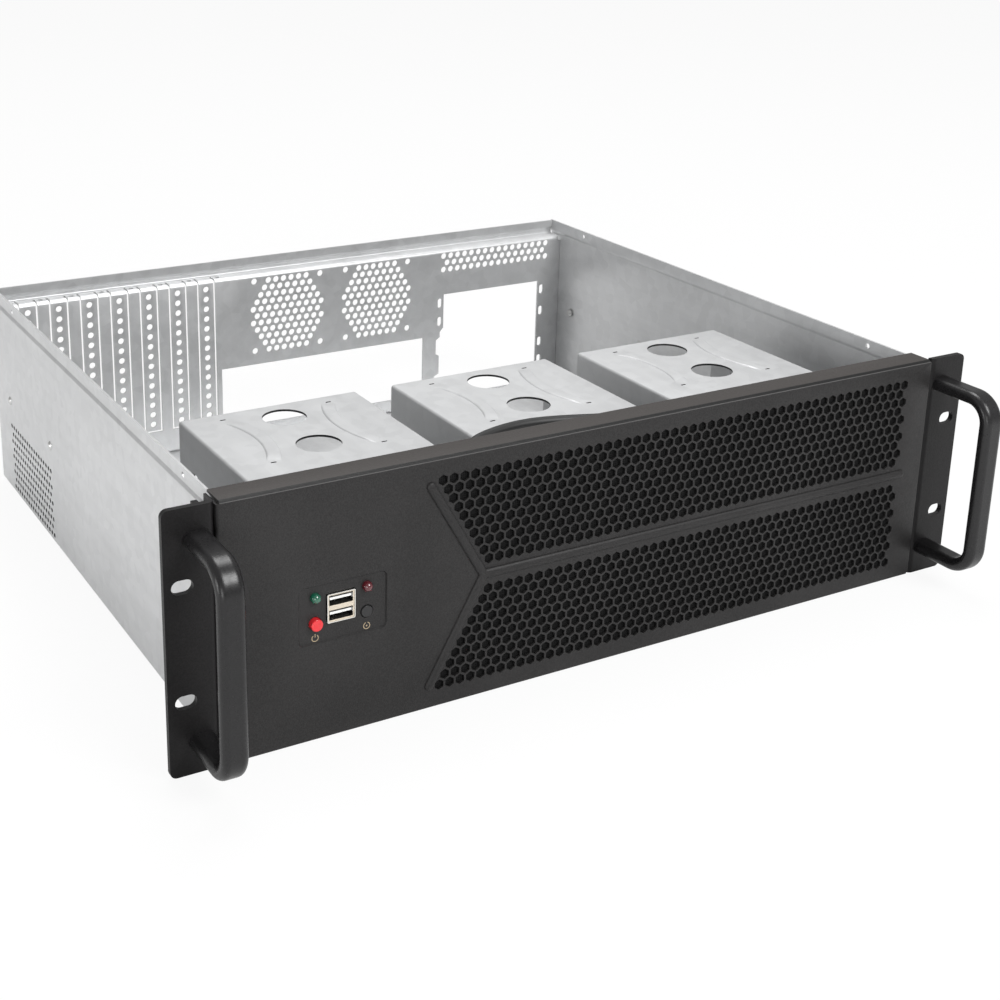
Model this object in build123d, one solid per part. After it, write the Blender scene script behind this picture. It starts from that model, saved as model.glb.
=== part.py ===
from build123d import *
from math import pi, radians, sin, tan
import os

# A short-depth 19 inch rack server case, three rack units high, shown with its lid off.
# The origin is the middle of the four rack slots on the ears' rear face.
# X runs to the right seen from the front, Y runs into the rack and Z runs up.
# Heights are written from the case's underside and moved by up() to the origin.

# Rack standard
RACK_HEIGHT = 132.55
EAR_WIDTH = 25.3
SLOT_EDGE = 8.75
SLOT_SPACING_Z = 57.15
SLOT_LENGTH = 10.5
SLOT_HEIGHT = 7.0

# Sheet metal
BODY_T = 1.2
FRONT_T = 1.2
EAR_T = 3.0
BEND_R = 2.0
STEP_R = 0.9
SEAT = 0.2

# Front panel
FASCIA_PROUD = 0.6
FASCIA_FLANGE = 15.0
FASCIA_CORNER_R = 1.4
FASCIA_EDGE_R = 0.84
OVERALL_DEPTH = 380.0

# Body
BODY_WIDTH = 429.6
LID_STEP_H = RACK_HEIGHT - 9.35
LID_STEP = 1.2
LID_HOLE_H = RACK_HEIGHT - 4.95
LID_HOLE_R = 1.6
LID_HOLE_FRONT_Y = 43.0
LID_HOLE_REAR_Y = 333.0

# Rear panel
REAR_RECESS = 12.0
REAR_FLANGE = 24.0
REAR_FLANGE_LOW = 4.0
REAR_FLANGE_TOP = 6.0
LEDGE_H = RACK_HEIGHT - 11.05
LEDGE_R = 1.0
CARD_SLOTS = 7
CARD_PITCH = 20.32
CARD_FIRST_X = 19.6 - BODY_WIDTH / 2
BLANK_WIDTH = 10.4
BLANK_SLIT = 1.3
BLANK_BOTTOM_H = 19.3
BLANK_LEDGE_CUT = 8.0
BLANK_HOLE_R = 2.15
BLANK_TOP_HOLE_H = LEDGE_H - 6.1
BLANK_HOLE_ROWS = 14
BLANK_HOLE_PITCH = 6.94
CARD_SCREW_R = 1.7
CARD_SCREW_BACK = 5.5
IO_LEFT_X = 151.6 - BODY_WIDTH / 2
IO_WIDTH = 158.75
IO_HEIGHT = 44.45
IO_BOTTOM_H = 12.4
FAN_CENTRE_H = LEDGE_H - 30.0
FAN_CENTRES_X = (IO_LEFT_X + 50.2, IO_LEFT_X + 120.2)
FAN_HOLE_SPACING = 50.0
FAN_SCREW_R = 2.25
FAN_VENT_PITCH = 5.75
FAN_VENT_R = 2.25
FAN_VENT_ROWS = 11
FAN_VENT_MOST = 10
STRIP_LEFT_X = BODY_WIDTH / 2 - 102.8
STRIP_TOP_H = LEDGE_H - 4.5
STRIP_PITCH = 5.9
STRIP_HOLES = 16
STRIP_ROWS = 3
STRIP_HOLE_R = 2.3
PSU_LEFT_X = BODY_WIDTH / 2 - 102.4
PSU_RIGHT_X = BODY_WIDTH / 2 - 20.2
PSU_TOP_H = 88.0
PSU_BOTTOM_H = 8.0
PSU_STEPS = [
    (0.0, 62.6),
    (2.8, 59.4),
    (2.8, 55.6),
    (6.0, 53.4),
    (6.0, 42.6),
    (3.2, 41.0),
    (3.2, 27.0),
    (7.2, 25.4),
    (7.2, 19.6),
    (3.2, 18.0),
]
PSU_LEFT_SLOTS_H = (81.6, 67.6)
PSU_RIGHT_SLOTS_H = (81.2, 64.4, 39.6, 25.4)
PSU_SLOT_LENGTH = 7.2
PSU_SLOT_WIDTH = 3.6
PSU_SLOT_GAP = 3.2

# Side vent, left wall only
SIDE_VENT_FRONT_Y = 262.0
SIDE_VENT_TOP_H = 48.2
SIDE_VENT_PITCH = 4.95
SIDE_VENT_ROW = 5.2
SIDE_VENT_HOLES = 18
SIDE_VENT_ROWS = 9
SIDE_VENT_R = 1.5

# Front grilles and ridge
HEX_PITCH = 5.94
HEX_FLATS = 4.9
HEX_ROWS = 10
GRILLE_LEFT_X = 113.6 - BODY_WIDTH / 2
GRILLE_RIGHT_X = BODY_WIDTH / 2 - 18.9
UPPER_TOP_H = 120.7
LOWER_TOP_H = 58.2
RIDGE_WIDTH = 4.8
RIDGE_HEIGHT = 1.2
RIDGE_DRAFT = 40.0
RIDGE_TOP = (GRILLE_LEFT_X - 6.4, 118.4)
RIDGE_TIP = (GRILLE_LEFT_X + 23.9, 66.6)
RIDGE_LOW = (GRILLE_LEFT_X - 5.8, 12.6)
RIDGE_RIGHT_X = GRILLE_RIGHT_X + 4.1

# Each fine hole pattern is modelled this many times coarser, at the same open share
COARSE = 2
VENT_SIDES = 8

# Control area
CONTROL_X = 60.9 - BODY_WIDTH / 2
CONTROL_H = 65.9
CONTROL_WIDTH = 46.3
CONTROL_HEIGHT = 30.2
CONTROL_CORNER_R = 3.0
CONTROL_RECESS = 0.8
LAMP_R = 2.5
LAMP_COLLAR_R = 2.9
LAMP_BODY = 6.0
LAMP_DOME = 0.88
LAMP_H = CONTROL_H + 8.8
POWER_X = CONTROL_X - 14.3
RESET_X = CONTROL_X + 12.7
BUTTON_H = CONTROL_H - 4.5
BUTTON_EDGE_R = 0.4
BUTTON_REST = 0.3
BUTTON_R = 3.0
BUTTON_CLEAR = 0.4
BUTTON_FLANGE_R = 4.2
BUTTON_FLANGE_T = 1.0
BUTTON_STEM_R = 1.4
BUTTON_STEM = 4.0
BUTTON_TRAVEL = 1.2
POWER_PROUD = 2.8
RESET_PROUD = 0.6
SWITCH_SIZE = 6.0
GUIDE_WALL = 0.9
GUIDE_CLEAR = 0.3
GUIDE_LAP = 1.0
USB_WIDTH = 14.6
USB_HEIGHT = 14.8
USB_X = CONTROL_X - 1.0
USB_H = CONTROL_H + 1.7
USB_CORNER_R = 0.7
USB_WALL = 0.4
USB_PROUD = 1.0
USB_CLEAR = 0.35
PORT_WIDTH = 12.4
PORT_HEIGHT = 5.1
PORT_GAP = 2.4
PORT_DEPTH = 9.0
TONGUE_T = 1.9
TONGUE_SIDE = 0.7
TONGUE_TOP = 0.5
TONGUE_BACK = 0.6
INSERT_BACK = 0.5
BOARD_Y = 14.0
BOARD_T = 1.6
BOARD_WIDTH = 46.0
BOARD_HEIGHT = 30.0
BOARD_SCREW_INSET = 3.2
SPACER_R = 2.6
SPACER_BORE = 6.0
BOARD_SCREW_BITE = 5.0
BOARD_SCREW_HEAD_R = 2.6
SOCKET_WIDTH = 12.0
SOCKET_DEPTH = 6.5
SOCKET_HEIGHT = 8.0

# Handles
HANDLE_INSET = 16.1
HANDLE_TOP_H = RACK_HEIGHT - 15.55
HANDLE_LOW_H = 16.4
HANDLE_REACH = 37.4
HANDLE_WIDTH = 13.0
HANDLE_DEPTH = 7.6
HANDLE_BEND_R = 13.0

# Ears
EAR_LEG = 20.0
EAR_LEG_INSET = 8.0
EAR_CORNER_R = 3.5
EAR_BEND_R = 3.6

# Drive cages
CAGE_WIDTH = 105.6
CAGE_PITCH = 128.0
CAGE_MIDDLE_X = 4.6
CAGE_TOP_H = RACK_HEIGHT - 20.55
CAGE_BEND_R = 1.2
CAGE_SCREW_INSET = 14.0
CAGE_FRONT_Y = 24.4
CAGE_REAR_Y = 146.9
CAGE_FOOT = 9.0
CAGE_HOLE_R = 12.1
CAGE_HOLE_FRONT_Y = 85.3
CAGE_HOLE_REAR_Y = 127.8
DIMPLE_X = 31.2
DIMPLE_FRONT_Y = 72.4
DIMPLE_REAR_Y = 138.4
DIMPLE_R = 4.4
DIMPLE_HEIGHT = 0.8
BEAD_WIDTH = 4.6
BEAD_HEIGHT = 0.6
BEAD_BOW = 14.0
BEAD_DRAFT = 30.0
SLIT_LENGTH = 3.2
SLIT_WIDTH = 1.2
DRIVE_SLOT_LENGTH = 7.0
DRIVE_SLOT_WIDTH = 3.6
DRIVE_SLOT_HEIGHTS = (28.0, 58.0, 88.0)
DRIVE_SLOT_EDGE = 22.0

# Inner front frame and filter
FILTER_T = 0.8
FRAME_FLANGE = 11.0
FRAME_MARGIN = 8.0
FRAME_POST = 5.0
FRAME_SILL = 4.0
FILTER_CORNER_R = 4.0

# Motherboard standoffs
STANDOFF_H = 6.5
STANDOFF_FLATS = 5.5
STANDOFF_HOLE_R = 1.45
STANDOFF_STUB = 0.5
STANDOFF_FLOOR = 1.5
BOARD_LEFT_COLUMN_X = 25.1 - BODY_WIDTH / 2
BOARD_COLUMNS = (0.0, 124.46, 281.94)
BOARD_FIRST_ROW = 11.4
BOARD_ROWS = (0.0, 154.94)

# Fasteners
SCREW_R = 1.5
SCREW_HEAD_R = 2.8
SCREW_HEAD_H = 1.9
HOLE_CLEAR = 0.1
THREAD_CLEAR = 0.05
EAR_SCREW_R = 2.0
EAR_SCREW_HEAD_R = 3.6
EAR_SCREW_Y = 6.0
EAR_SCREW_HEIGHTS = (24.0, RACK_HEIGHT / 2, RACK_HEIGHT - 24.0)
EAR_SCREW_PAST = 0.6
HANDLE_SCREW_R = 2.0
HANDLE_SCREW_HEAD_R = 3.9
HANDLE_SCREW_HEAD_H = 2.0
HANDLE_SCREW_BITE = 11.0
RIVET_R = 1.6
RIVET_HEAD_R = 2.9
RIVET_HEAD_H = 1.1
REAR_RIVET_H = 65.0
REAR_RIVET_BACK = 18.0
FLOOR_RIVET_BACK = 5.0
SIDE_RIVET_Y = 260.4
FLOOR_RIVETS_X = (-150.0, -50.0, 50.0, 150.0)

# Lead from the control board to the motherboard
LEAD_R = 2.75
PLUG_SIZE = (13.0, 15.0, 5.4)
PLUG_WALL = 1.0
PLUG_CELL_DEPTH = 5.0
PLUG_EDGE_R = 0.6
LEAD_ROUTE = [
    (CONTROL_X + 20.9, 18.85, CONTROL_H - 1.9),
    (CONTROL_X + 34.9, 18.85, CONTROL_H - 1.9),
    (-104.0, 18.6, 69.0),
    (-89.0, 18.9, 78.5),
    (-75.0, 18.6, 88.5),
    (-63.0, 22.0, 98.5),
    (-58.0, 34.0, 109.5),
    (-50.0, 45.5, 118.0),
    (-33.0, 52.0, 118.2),
    (-14.0, 53.0, 115.1),
    (6.0, 49.0, 115.2),
    (27.0, 42.0, 115.5),
    (42.5, 38.0, 116.0),
    (56.5, 38.5, 117.6),
    (68.0, 42.5, 111.0),
    (72.4, 47.5, 101.0),
    (72.0, 55.5, 87.5),
    (70.2, 66.0, 71.0),
    (69.4, 79.0, 53.0),
    (68.5, 95.0, 35.0),
    (68.8, 114.0, 20.0),
    (69.5, 134.0, 10.5),
    (75.0, 154.0, 5.6),
    (86.0, 170.0, 5.2),
    (98.0, 180.0, 5.2),
]

# Planes that many pieces share
FRONT_Y = -EAR_T - FASCIA_PROUD
FASCIA_BACK_Y = FRONT_Y + FRONT_T
REAR_Y = FRONT_Y + OVERALL_DEPTH
PLATE_Y = REAR_Y - REAR_RECESS
BODY_LOW_H = FRONT_T
BODY_TOP_H = RACK_HEIGHT - FRONT_T
FLOOR_H = BODY_LOW_H + BODY_T
FASCIA_WIDTH = BODY_WIDTH + 2 * FRONT_T
RACK_WIDTH = FASCIA_WIDTH + 2 * EAR_WIDTH
SLOT_X = RACK_WIDTH / 2 - SLOT_EDGE
HANDLE_X = RACK_WIDTH / 2 - HANDLE_INSET
WALL_IN_X = BODY_WIDTH / 2 - BODY_T
FRAME_Y = FASCIA_BACK_Y + FILTER_T + SEAT
RECESS_Y = FRONT_Y + CONTROL_RECESS
RECESS_BACK_Y = RECESS_Y + FRONT_T
CAGE_CENTRES_X = [CAGE_MIDDLE_X + step * CAGE_PITCH for step in (-1, 0, 1)]


def up(height):
    """Turn a height above the case's underside into a Z coordinate."""
    return height - RACK_HEIGHT / 2


def block(x_range, y_range, z_range):
    """Box between two corners, given as ranges."""
    size = [high - low for low, high in (x_range, y_range, z_range)]
    middle = [(low + high) / 2 for low, high in (x_range, y_range, z_range)]
    return Pos(*middle) * Box(*size)


def rod_y(x, z, radius, y_range):
    """Round bar along Y."""
    low, high = y_range
    return Pos(x, (low + high) / 2, z) * Rot(90, 0, 0) * Cylinder(radius, high - low)


def rod_x(y, z, radius, x_range):
    """Round bar along X."""
    low, high = x_range
    return Pos((low + high) / 2, y, z) * Rot(0, 90, 0) * Cylinder(radius, high - low)


def rod_z(x, y, radius, z_range):
    """Round bar along Z."""
    low, high = z_range
    return Pos(x, y, (low + high) / 2) * Cylinder(radius, high - low)


def staggered(pitch, rows):
    """Places of a staggered pattern; each row is (first place, last place, height)."""
    places = []
    for first, last, height in rows:
        count = int((last - first) / pitch + 1.02)
        places += [(first + pitch * step, height) for step in range(count)]
    return places


def vent(places, radius, plane, depth):
    """Prisms through a sheet at each place, with a few flat sides and a round hole's area."""
    corner_r = radius * (2 * pi / (VENT_SIDES * sin(2 * pi / VENT_SIDES))) ** 0.5
    hole = RegularPolygon(corner_r, VENT_SIDES, rotation=180 / VENT_SIDES)
    return extrude(plane * (Sketch() + [Pos(x, z) * hole for x, z in places]), depth)


def rear_vent(places, radius):
    """Vent holes through the rear plate."""
    plane = Plane(origin=(0, PLATE_Y - 1, 0), x_dir=(1, 0, 0), z_dir=(0, -1, 0))
    return vent(places, radius, plane, -(BODY_T + 2))


def front_sketch(sketch, y):
    """Place a sketch drawn in X and Z on a plane facing the front at this Y."""
    return Plane(origin=(0, y, 0), x_dir=(1, 0, 0), z_dir=(0, -1, 0)) * sketch


def folded(points, radii, plane, length):
    """Sheet of the body's thickness, folded along a path and as long as length."""
    path = FilletPolyline(*points, radius=radii)
    return extrude(plane * trace(path, BODY_T), length)


def chassis_tub():
    """Floor and side walls folded from one sheet, with the stepped edge for the lid."""
    side = BODY_WIDTH / 2 - BODY_T / 2
    low = up(BODY_LOW_H + BODY_T / 2)
    right = [
        (side, low),
        (side, up(LID_STEP_H - LID_STEP)),
        (side - LID_STEP, up(LID_STEP_H + LID_STEP / 2)),
        (side - LID_STEP, up(BODY_TOP_H)),
    ]
    left = [(-x, z) for x, z in reversed(right)]
    radii = [STEP_R, STEP_R, BEND_R, BEND_R, STEP_R, STEP_R]
    section = Plane(origin=(0, FASCIA_BACK_Y, 0), x_dir=(1, 0, 0), z_dir=(0, -1, 0))
    tub = folded(left + right, radii, section, -(REAR_Y - FASCIA_BACK_Y))
    tub -= lid_holes() + side_vent() + ear_screw_holes()
    rivets = [(PLATE_Y - REAR_RIVET_BACK, up(REAR_RIVET_H)), (SIDE_RIVET_Y, up(REAR_RIVET_H))]
    across = (-BODY_WIDTH, BODY_WIDTH)
    tub -= [rod_x(y, z, RIVET_R, across) for y, z in rivets] + floor_holes()
    return tub


def floor_holes():
    """Holes in the floor for rivets, cage screws and standoffs."""
    through = (up(0), up(FLOOR_H + 1))
    holes = [rod_z(x, rivet_floor_y(), RIVET_R, through) for x in FLOOR_RIVETS_X]
    holes += [rod_z(x, y, SCREW_R, through) for x, y in cage_screw_places()]
    return holes + [rod_z(x, y, STANDOFF_HOLE_R, through) for x, y in standoff_places()]


def lid_holes():
    """Screw holes for the lid in the stepped band of both walls."""
    across = (-BODY_WIDTH, BODY_WIDTH)
    places = (LID_HOLE_FRONT_Y, LID_HOLE_REAR_Y)
    return [rod_x(y, up(LID_HOLE_H), LID_HOLE_R, across) for y in places]


def side_vent():
    """Staggered round holes low in the left wall, near the rear."""
    pitch = SIDE_VENT_PITCH * COARSE
    row_pitch = SIDE_VENT_ROW * COARSE
    length = (SIDE_VENT_HOLES - 1) * SIDE_VENT_PITCH
    rows = []
    for row in range((SIDE_VENT_ROWS - 1) // COARSE + 1):
        first = SIDE_VENT_FRONT_Y + (row % 2) * pitch / 2
        rows.append((first, SIDE_VENT_FRONT_Y + length, up(SIDE_VENT_TOP_H - row * row_pitch)))
    wall = Plane(origin=(-BODY_WIDTH / 2 - 1, 0, 0), x_dir=(0, 1, 0), z_dir=(1, 0, 0))
    return [vent(staggered(pitch, rows), SIDE_VENT_R * COARSE, wall, BODY_T + 2)]


def ear_screw_holes():
    """Holes for the ear screws through both walls."""
    across = (-BODY_WIDTH, BODY_WIDTH)
    return [rod_x(EAR_SCREW_Y, up(h), EAR_SCREW_R + HOLE_CLEAR, across) for h in EAR_SCREW_HEIGHTS]


def rivet_floor_y():
    """Line of the rivets through the rear panel's foot."""
    return REAR_Y - FLOOR_RIVET_BACK


def rear_panel():
    """Folded rear sheet: foot, recessed plate, ledge for card screws and stepped top edge."""
    plate = PLATE_Y + BODY_T / 2
    outer = REAR_Y - BODY_T / 2
    foot = up(FLOOR_H + BODY_T / 2)
    ledge = up(LEDGE_H - BODY_T / 2)
    points = [
        (REAR_Y - SEAT, foot),
        (plate, foot),
        (plate, ledge),
        (outer, ledge),
        (outer, up(LID_STEP_H + LID_STEP)),
        (outer - LID_STEP, up(LID_STEP_H + 2.5 * LID_STEP)),
        (outer - LID_STEP, up(BODY_TOP_H)),
    ]
    half = WALL_IN_X - SEAT
    section = Plane(origin=(-half, 0, 0), x_dir=(0, 1, 0), z_dir=(1, 0, 0))
    panel = folded(points, [BEND_R, LEDGE_R, LEDGE_R, STEP_R, STEP_R], section, 2 * half)
    for side in (-1, 1):
        flange = sorted((side * half, side * (half - BODY_T)))
        y_range = (PLATE_Y - REAR_FLANGE, PLATE_Y + BODY_T / 2)
        panel += block(flange, y_range, (up(FLOOR_H + REAR_FLANGE_LOW), up(LEDGE_H - REAR_FLANGE_TOP)))
        edge = sorted((side * (half + 1), side * (half - LID_STEP - SEAT)))
        panel -= block(edge, (PLATE_Y - 1, REAR_Y + 1), (up(LEDGE_H - 2 * LID_STEP), up(BODY_TOP_H + 1)))
        corner = sorted((side * (half + 1), side * (half - BEND_R)))
        panel -= block(corner, (PLATE_Y - 1, REAR_Y + 1), (up(FLOOR_H - 1), up(FLOOR_H + BEND_R)))
    panel -= [rod_z(x, rivet_floor_y(), RIVET_R, (up(0), up(FLOOR_H + 3))) for x in FLOOR_RIVETS_X]
    across = (-BODY_WIDTH, BODY_WIDTH)
    panel -= rod_x(PLATE_Y - REAR_RIVET_BACK, up(REAR_RIVET_H), RIVET_R, across)
    panel -= card_blanks() + fan_vents() + vent_strip() + [io_opening(), psu_opening()] + psu_slots()
    return panel


def card_blanks():
    """Slits round each expansion blank, its column of holes and the card screw holes."""
    cuts = []
    through = (PLATE_Y - 1, PLATE_Y + BODY_T + 1)
    half = BLANK_WIDTH / 2
    step = BLANK_HOLE_PITCH * COARSE
    for slot in range(CARD_SLOTS):
        x = CARD_FIRST_X + slot * CARD_PITCH
        for side in (-1, 1):
            slit = sorted((x + side * half, x + side * (half + BLANK_SLIT)))
            reach = (PLATE_Y - 1, PLATE_Y + BLANK_LEDGE_CUT)
            cuts.append(block(slit, reach, (up(BLANK_BOTTOM_H), up(LEDGE_H + 1))))
        foot = (x - half - BLANK_SLIT, x + half + BLANK_SLIT)
        cuts.append(block(foot, through, (up(BLANK_BOTTOM_H), up(BLANK_BOTTOM_H + BLANK_SLIT))))
        first = BLANK_TOP_HOLE_H - BLANK_HOLE_PITCH / 2
        places = [(x, up(first - row * step)) for row in range(BLANK_HOLE_ROWS // COARSE)]
        cuts.append(rear_vent(places, BLANK_HOLE_R * COARSE ** 0.5))
        screw_y = PLATE_Y + CARD_SCREW_BACK
        screw_range = (up(LEDGE_H - 2 * BODY_T), up(LEDGE_H + 1))
        cuts.append(rod_z(x + CARD_PITCH / 2, screw_y, CARD_SCREW_R, screw_range))
    return cuts


def fan_vents():
    """Two fan grilles of round holes in hexagonal rows, each with four screw holes."""
    through = (PLATE_Y - 1, PLATE_Y + BODY_T + 1)
    pitch = FAN_VENT_PITCH * COARSE
    row_pitch = pitch * 3 ** 0.5 / 2
    most = FAN_VENT_MOST // COARSE
    reach = (FAN_VENT_ROWS - 1) // (2 * COARSE)
    cuts = []
    for centre in FAN_CENTRES_X:
        rows = []
        for row in range(-reach, reach + 1):
            half = (most - abs(row) - 1) * pitch / 2
            rows.append((centre - half, centre + half, up(FAN_CENTRE_H + row * row_pitch)))
        cuts.append(rear_vent(staggered(pitch, rows), FAN_VENT_R * COARSE))
        for side_x in (-1, 1):
            for side_z in (-1, 1):
                x = centre + side_x * FAN_HOLE_SPACING / 2
                height = FAN_CENTRE_H + side_z * FAN_HOLE_SPACING / 2
                cuts.append(rod_y(x, up(height), FAN_SCREW_R, through))
    return cuts


def vent_strip():
    """Band of round holes above the power supply opening."""
    depth = (STRIP_ROWS - 1) * STRIP_PITCH * 3 ** 0.5 / 2
    pitch = STRIP_PITCH * COARSE
    places = []
    for row in range(COARSE):
        first = STRIP_LEFT_X + row * pitch / 2
        height = up(STRIP_TOP_H - row * depth)
        places += [(first + step * pitch, height) for step in range(STRIP_HOLES // COARSE)]
    return [rear_vent(places, STRIP_HOLE_R * COARSE ** 0.5)]


def io_opening():
    """Standard opening for the motherboard's sockets."""
    through = (PLATE_Y - 1, PLATE_Y + BODY_T + 1)
    right = IO_LEFT_X + IO_WIDTH
    return block((IO_LEFT_X, right), through, (up(IO_BOTTOM_H), up(IO_BOTTOM_H + IO_HEIGHT)))


def psu_opening():
    """Power supply opening, with the stepped left edge that suits more than one supply."""
    steps = [(PSU_LEFT_X - inset, height) for inset, height in PSU_STEPS]
    top = [(PSU_RIGHT_X, PSU_TOP_H), (PSU_LEFT_X, PSU_TOP_H)]
    outline = top + steps + [(steps[-1][0], PSU_BOTTOM_H), (PSU_RIGHT_X, PSU_BOTTOM_H)]
    face = make_face(Polyline([(x, up(height)) for x, height in outline], close=True))
    return extrude(front_sketch(face, PLATE_Y - 1), -(BODY_T + 2))


def psu_slots():
    """Upright slots beside the power supply opening."""
    places = [(PSU_LEFT_X - PSU_SLOT_GAP, height) for height in PSU_LEFT_SLOTS_H]
    places += [(PSU_RIGHT_X + PSU_SLOT_GAP, height) for height in PSU_RIGHT_SLOTS_H]
    cuts = []
    for x, height in places:
        slot = Pos(x, up(height)) * SlotOverall(PSU_SLOT_LENGTH, PSU_SLOT_WIDTH, rotation=90)
        cuts.append(extrude(front_sketch(slot, PLATE_Y - 1), -(BODY_T + 2)))
    return cuts


def front_frame():
    """Inner steel frame behind the front panel, with windows for the grilles and controls."""
    half = WALL_IN_X - LID_STEP - 2 * SEAT
    low = FLOOR_H
    high = BODY_TOP_H - SEAT
    back = (FRAME_Y, FRAME_Y + FRAME_FLANGE)
    frame = block((-half, half), back, (up(low), up(high)))
    frame = fillet(frame.edges().filter_by(Axis.Y), BEND_R)
    inside = (FRAME_Y + BODY_T, FRAME_Y + FRAME_FLANGE + 1)
    hollow = block((-half + BODY_T, half - BODY_T), inside, (up(low + BODY_T), up(high - BODY_T)))
    frame -= fillet(hollow.edges().filter_by(Axis.Y), BEND_R - 1)
    through = (FRAME_Y - 1, FRAME_Y + BODY_T + 1)
    hex_edge = HEX_PITCH / 2 + FRAME_POST
    windows = (GRILLE_LEFT_X - hex_edge, GRILLE_RIGHT_X + hex_edge)
    for top in (UPPER_TOP_H, LOWER_TOP_H):
        bottom = top - (HEX_ROWS - 1) * HEX_PITCH * 3 ** 0.5 / 2
        frame -= block(windows, through, (up(bottom - FRAME_SILL), up(top + FRAME_SILL)))
    half_width = CONTROL_WIDTH / 2 + FRAME_POST
    half_height = CONTROL_HEIGHT / 2 + FRAME_POST
    window = (CONTROL_X - half_width, CONTROL_X + half_width)
    frame -= block(window, through, (up(CONTROL_H - half_height), up(CONTROL_H + half_height)))
    return frame


def dust_filter():
    """Thin black filter sheet held between the front panel and the inner frame."""
    edge = HEX_PITCH / 2 + FRAME_POST + FRAME_MARGIN / 2
    y_range = (FASCIA_BACK_Y + SEAT / 2, FRAME_Y - SEAT / 2)
    low = LOWER_TOP_H - (HEX_ROWS - 1) * HEX_PITCH * 3 ** 0.5 / 2 - FRAME_MARGIN
    x_range = (GRILLE_LEFT_X - edge, GRILLE_RIGHT_X + edge)
    sheet = block(x_range, y_range, (up(low), up(UPPER_TOP_H + FRAME_MARGIN)))
    return fillet(sheet.edges().filter_by(Axis.Y), FILTER_CORNER_R)


def hex_sketch():
    """Both honeycomb grilles, whose left ends slant back to the ridge's tip."""
    pitch = HEX_PITCH * COARSE
    row_pitch = pitch * 3 ** 0.5 / 2
    count = HEX_ROWS // COARSE
    rows = []
    for row in range(count):
        drop = HEX_PITCH / 2 + row * row_pitch
        shift = row * pitch / 2
        back = (count - 1 - row) * pitch / 2
        rows.append((GRILLE_LEFT_X + shift, GRILLE_RIGHT_X, up(UPPER_TOP_H - drop)))
        rows.append((GRILLE_LEFT_X + back, GRILLE_RIGHT_X, up(LOWER_TOP_H - drop)))
    places = staggered(pitch, rows)
    corner_r = HEX_FLATS * COARSE / 3 ** 0.5
    cell = RegularPolygon(corner_r, 6, rotation=30)
    return Sketch() + [Pos(x + pitch / 4, z) * cell for x, z in places]


def ridge():
    """Raised rib shaped like an arrow, between the grilles and along their slanted ends."""
    spine = [(x, up(height)) for x, height in (RIDGE_TOP, RIDGE_TIP, RIDGE_LOW)]
    bar = [spine[1], (RIDGE_RIGHT_X, spine[1][1])]
    chevron = trace(Polyline(*spine), RIDGE_WIDTH)
    level = trace(Line(*bar), RIDGE_WIDTH)
    return extrude(front_sketch(chevron + level, FRONT_Y), RIDGE_HEIGHT, taper=RIDGE_DRAFT)


def control_outline(grow):
    """Rounded rectangle of the control area, larger by grow on each side."""
    width = CONTROL_WIDTH + 2 * grow
    height = CONTROL_HEIGHT + 2 * grow
    return Pos(CONTROL_X, up(CONTROL_H)) * RectangleRounded(width, height, CONTROL_CORNER_R + grow)


def fascia():
    """Front panel: a folded black pan with grilles, ridge and recessed control area."""
    half = FASCIA_WIDTH / 2
    pan = block((-half, half), (FRONT_Y, FRONT_Y + FASCIA_FLANGE), (up(0), up(RACK_HEIGHT)))
    pan = fillet(pan.edges().filter_by(Axis.Y), FASCIA_CORNER_R)
    pan = fillet(pan.faces().sort_by(Axis.Y)[0].edges(), FASCIA_EDGE_R)
    inner = half - FRONT_T
    inside = (FASCIA_BACK_Y, FRONT_Y + FASCIA_FLANGE + 1)
    pan -= block((-inner, inner), inside, (up(FRONT_T), up(RACK_HEIGHT - FRONT_T)))
    pan -= extrude(front_sketch(hex_sketch(), FRONT_Y - 1), -(FRONT_T + 2))
    pan += ridge()
    pan += extrude(front_sketch(control_outline(FRONT_T), FASCIA_BACK_Y), -CONTROL_RECESS)
    pan -= extrude(front_sketch(control_outline(0), FRONT_Y), -CONTROL_RECESS)
    pan -= control_cuts() + ear_screw_holes()
    return pan


def control_cuts():
    """Holes in the control area for lamps, buttons and sockets."""
    through = (FRONT_Y - 1, RECESS_BACK_Y + 1)
    cuts = [rod_y(x, up(LAMP_H), LAMP_R + HOLE_CLEAR, through) for x in (POWER_X, RESET_X)]
    cuts += [rod_y(x, up(BUTTON_H), BUTTON_R + BUTTON_CLEAR, through) for x in (POWER_X, RESET_X)]
    half_width = USB_WIDTH / 2 + USB_CLEAR
    half_height = USB_HEIGHT / 2 + USB_CLEAR
    x_range = (USB_X - half_width, USB_X + half_width)
    cuts.append(block(x_range, through, (up(USB_H - half_height), up(USB_H + half_height))))
    return cuts


def lamp(x):
    """Domed lamp with its collar behind the panel and its body down to the board."""
    dome_y = RECESS_Y - LAMP_DOME
    body = rod_y(x, up(LAMP_H), LAMP_R, (dome_y, RECESS_BACK_Y + LAMP_BODY))
    body += Pos(x, dome_y, up(LAMP_H)) * Sphere(LAMP_R)
    collar = (RECESS_BACK_Y + LAMP_BODY - 1, RECESS_BACK_Y + LAMP_BODY)
    body += rod_y(x, up(LAMP_H), LAMP_COLLAR_R, collar)
    return body


def lamp_spacers():
    """Sleeves between the lamps and the board."""
    y_range = (RECESS_BACK_Y + LAMP_BODY, BOARD_Y)
    return [rod_y(x, up(LAMP_H), LAMP_COLLAR_R, y_range) for x in (POWER_X, RESET_X)]


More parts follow.
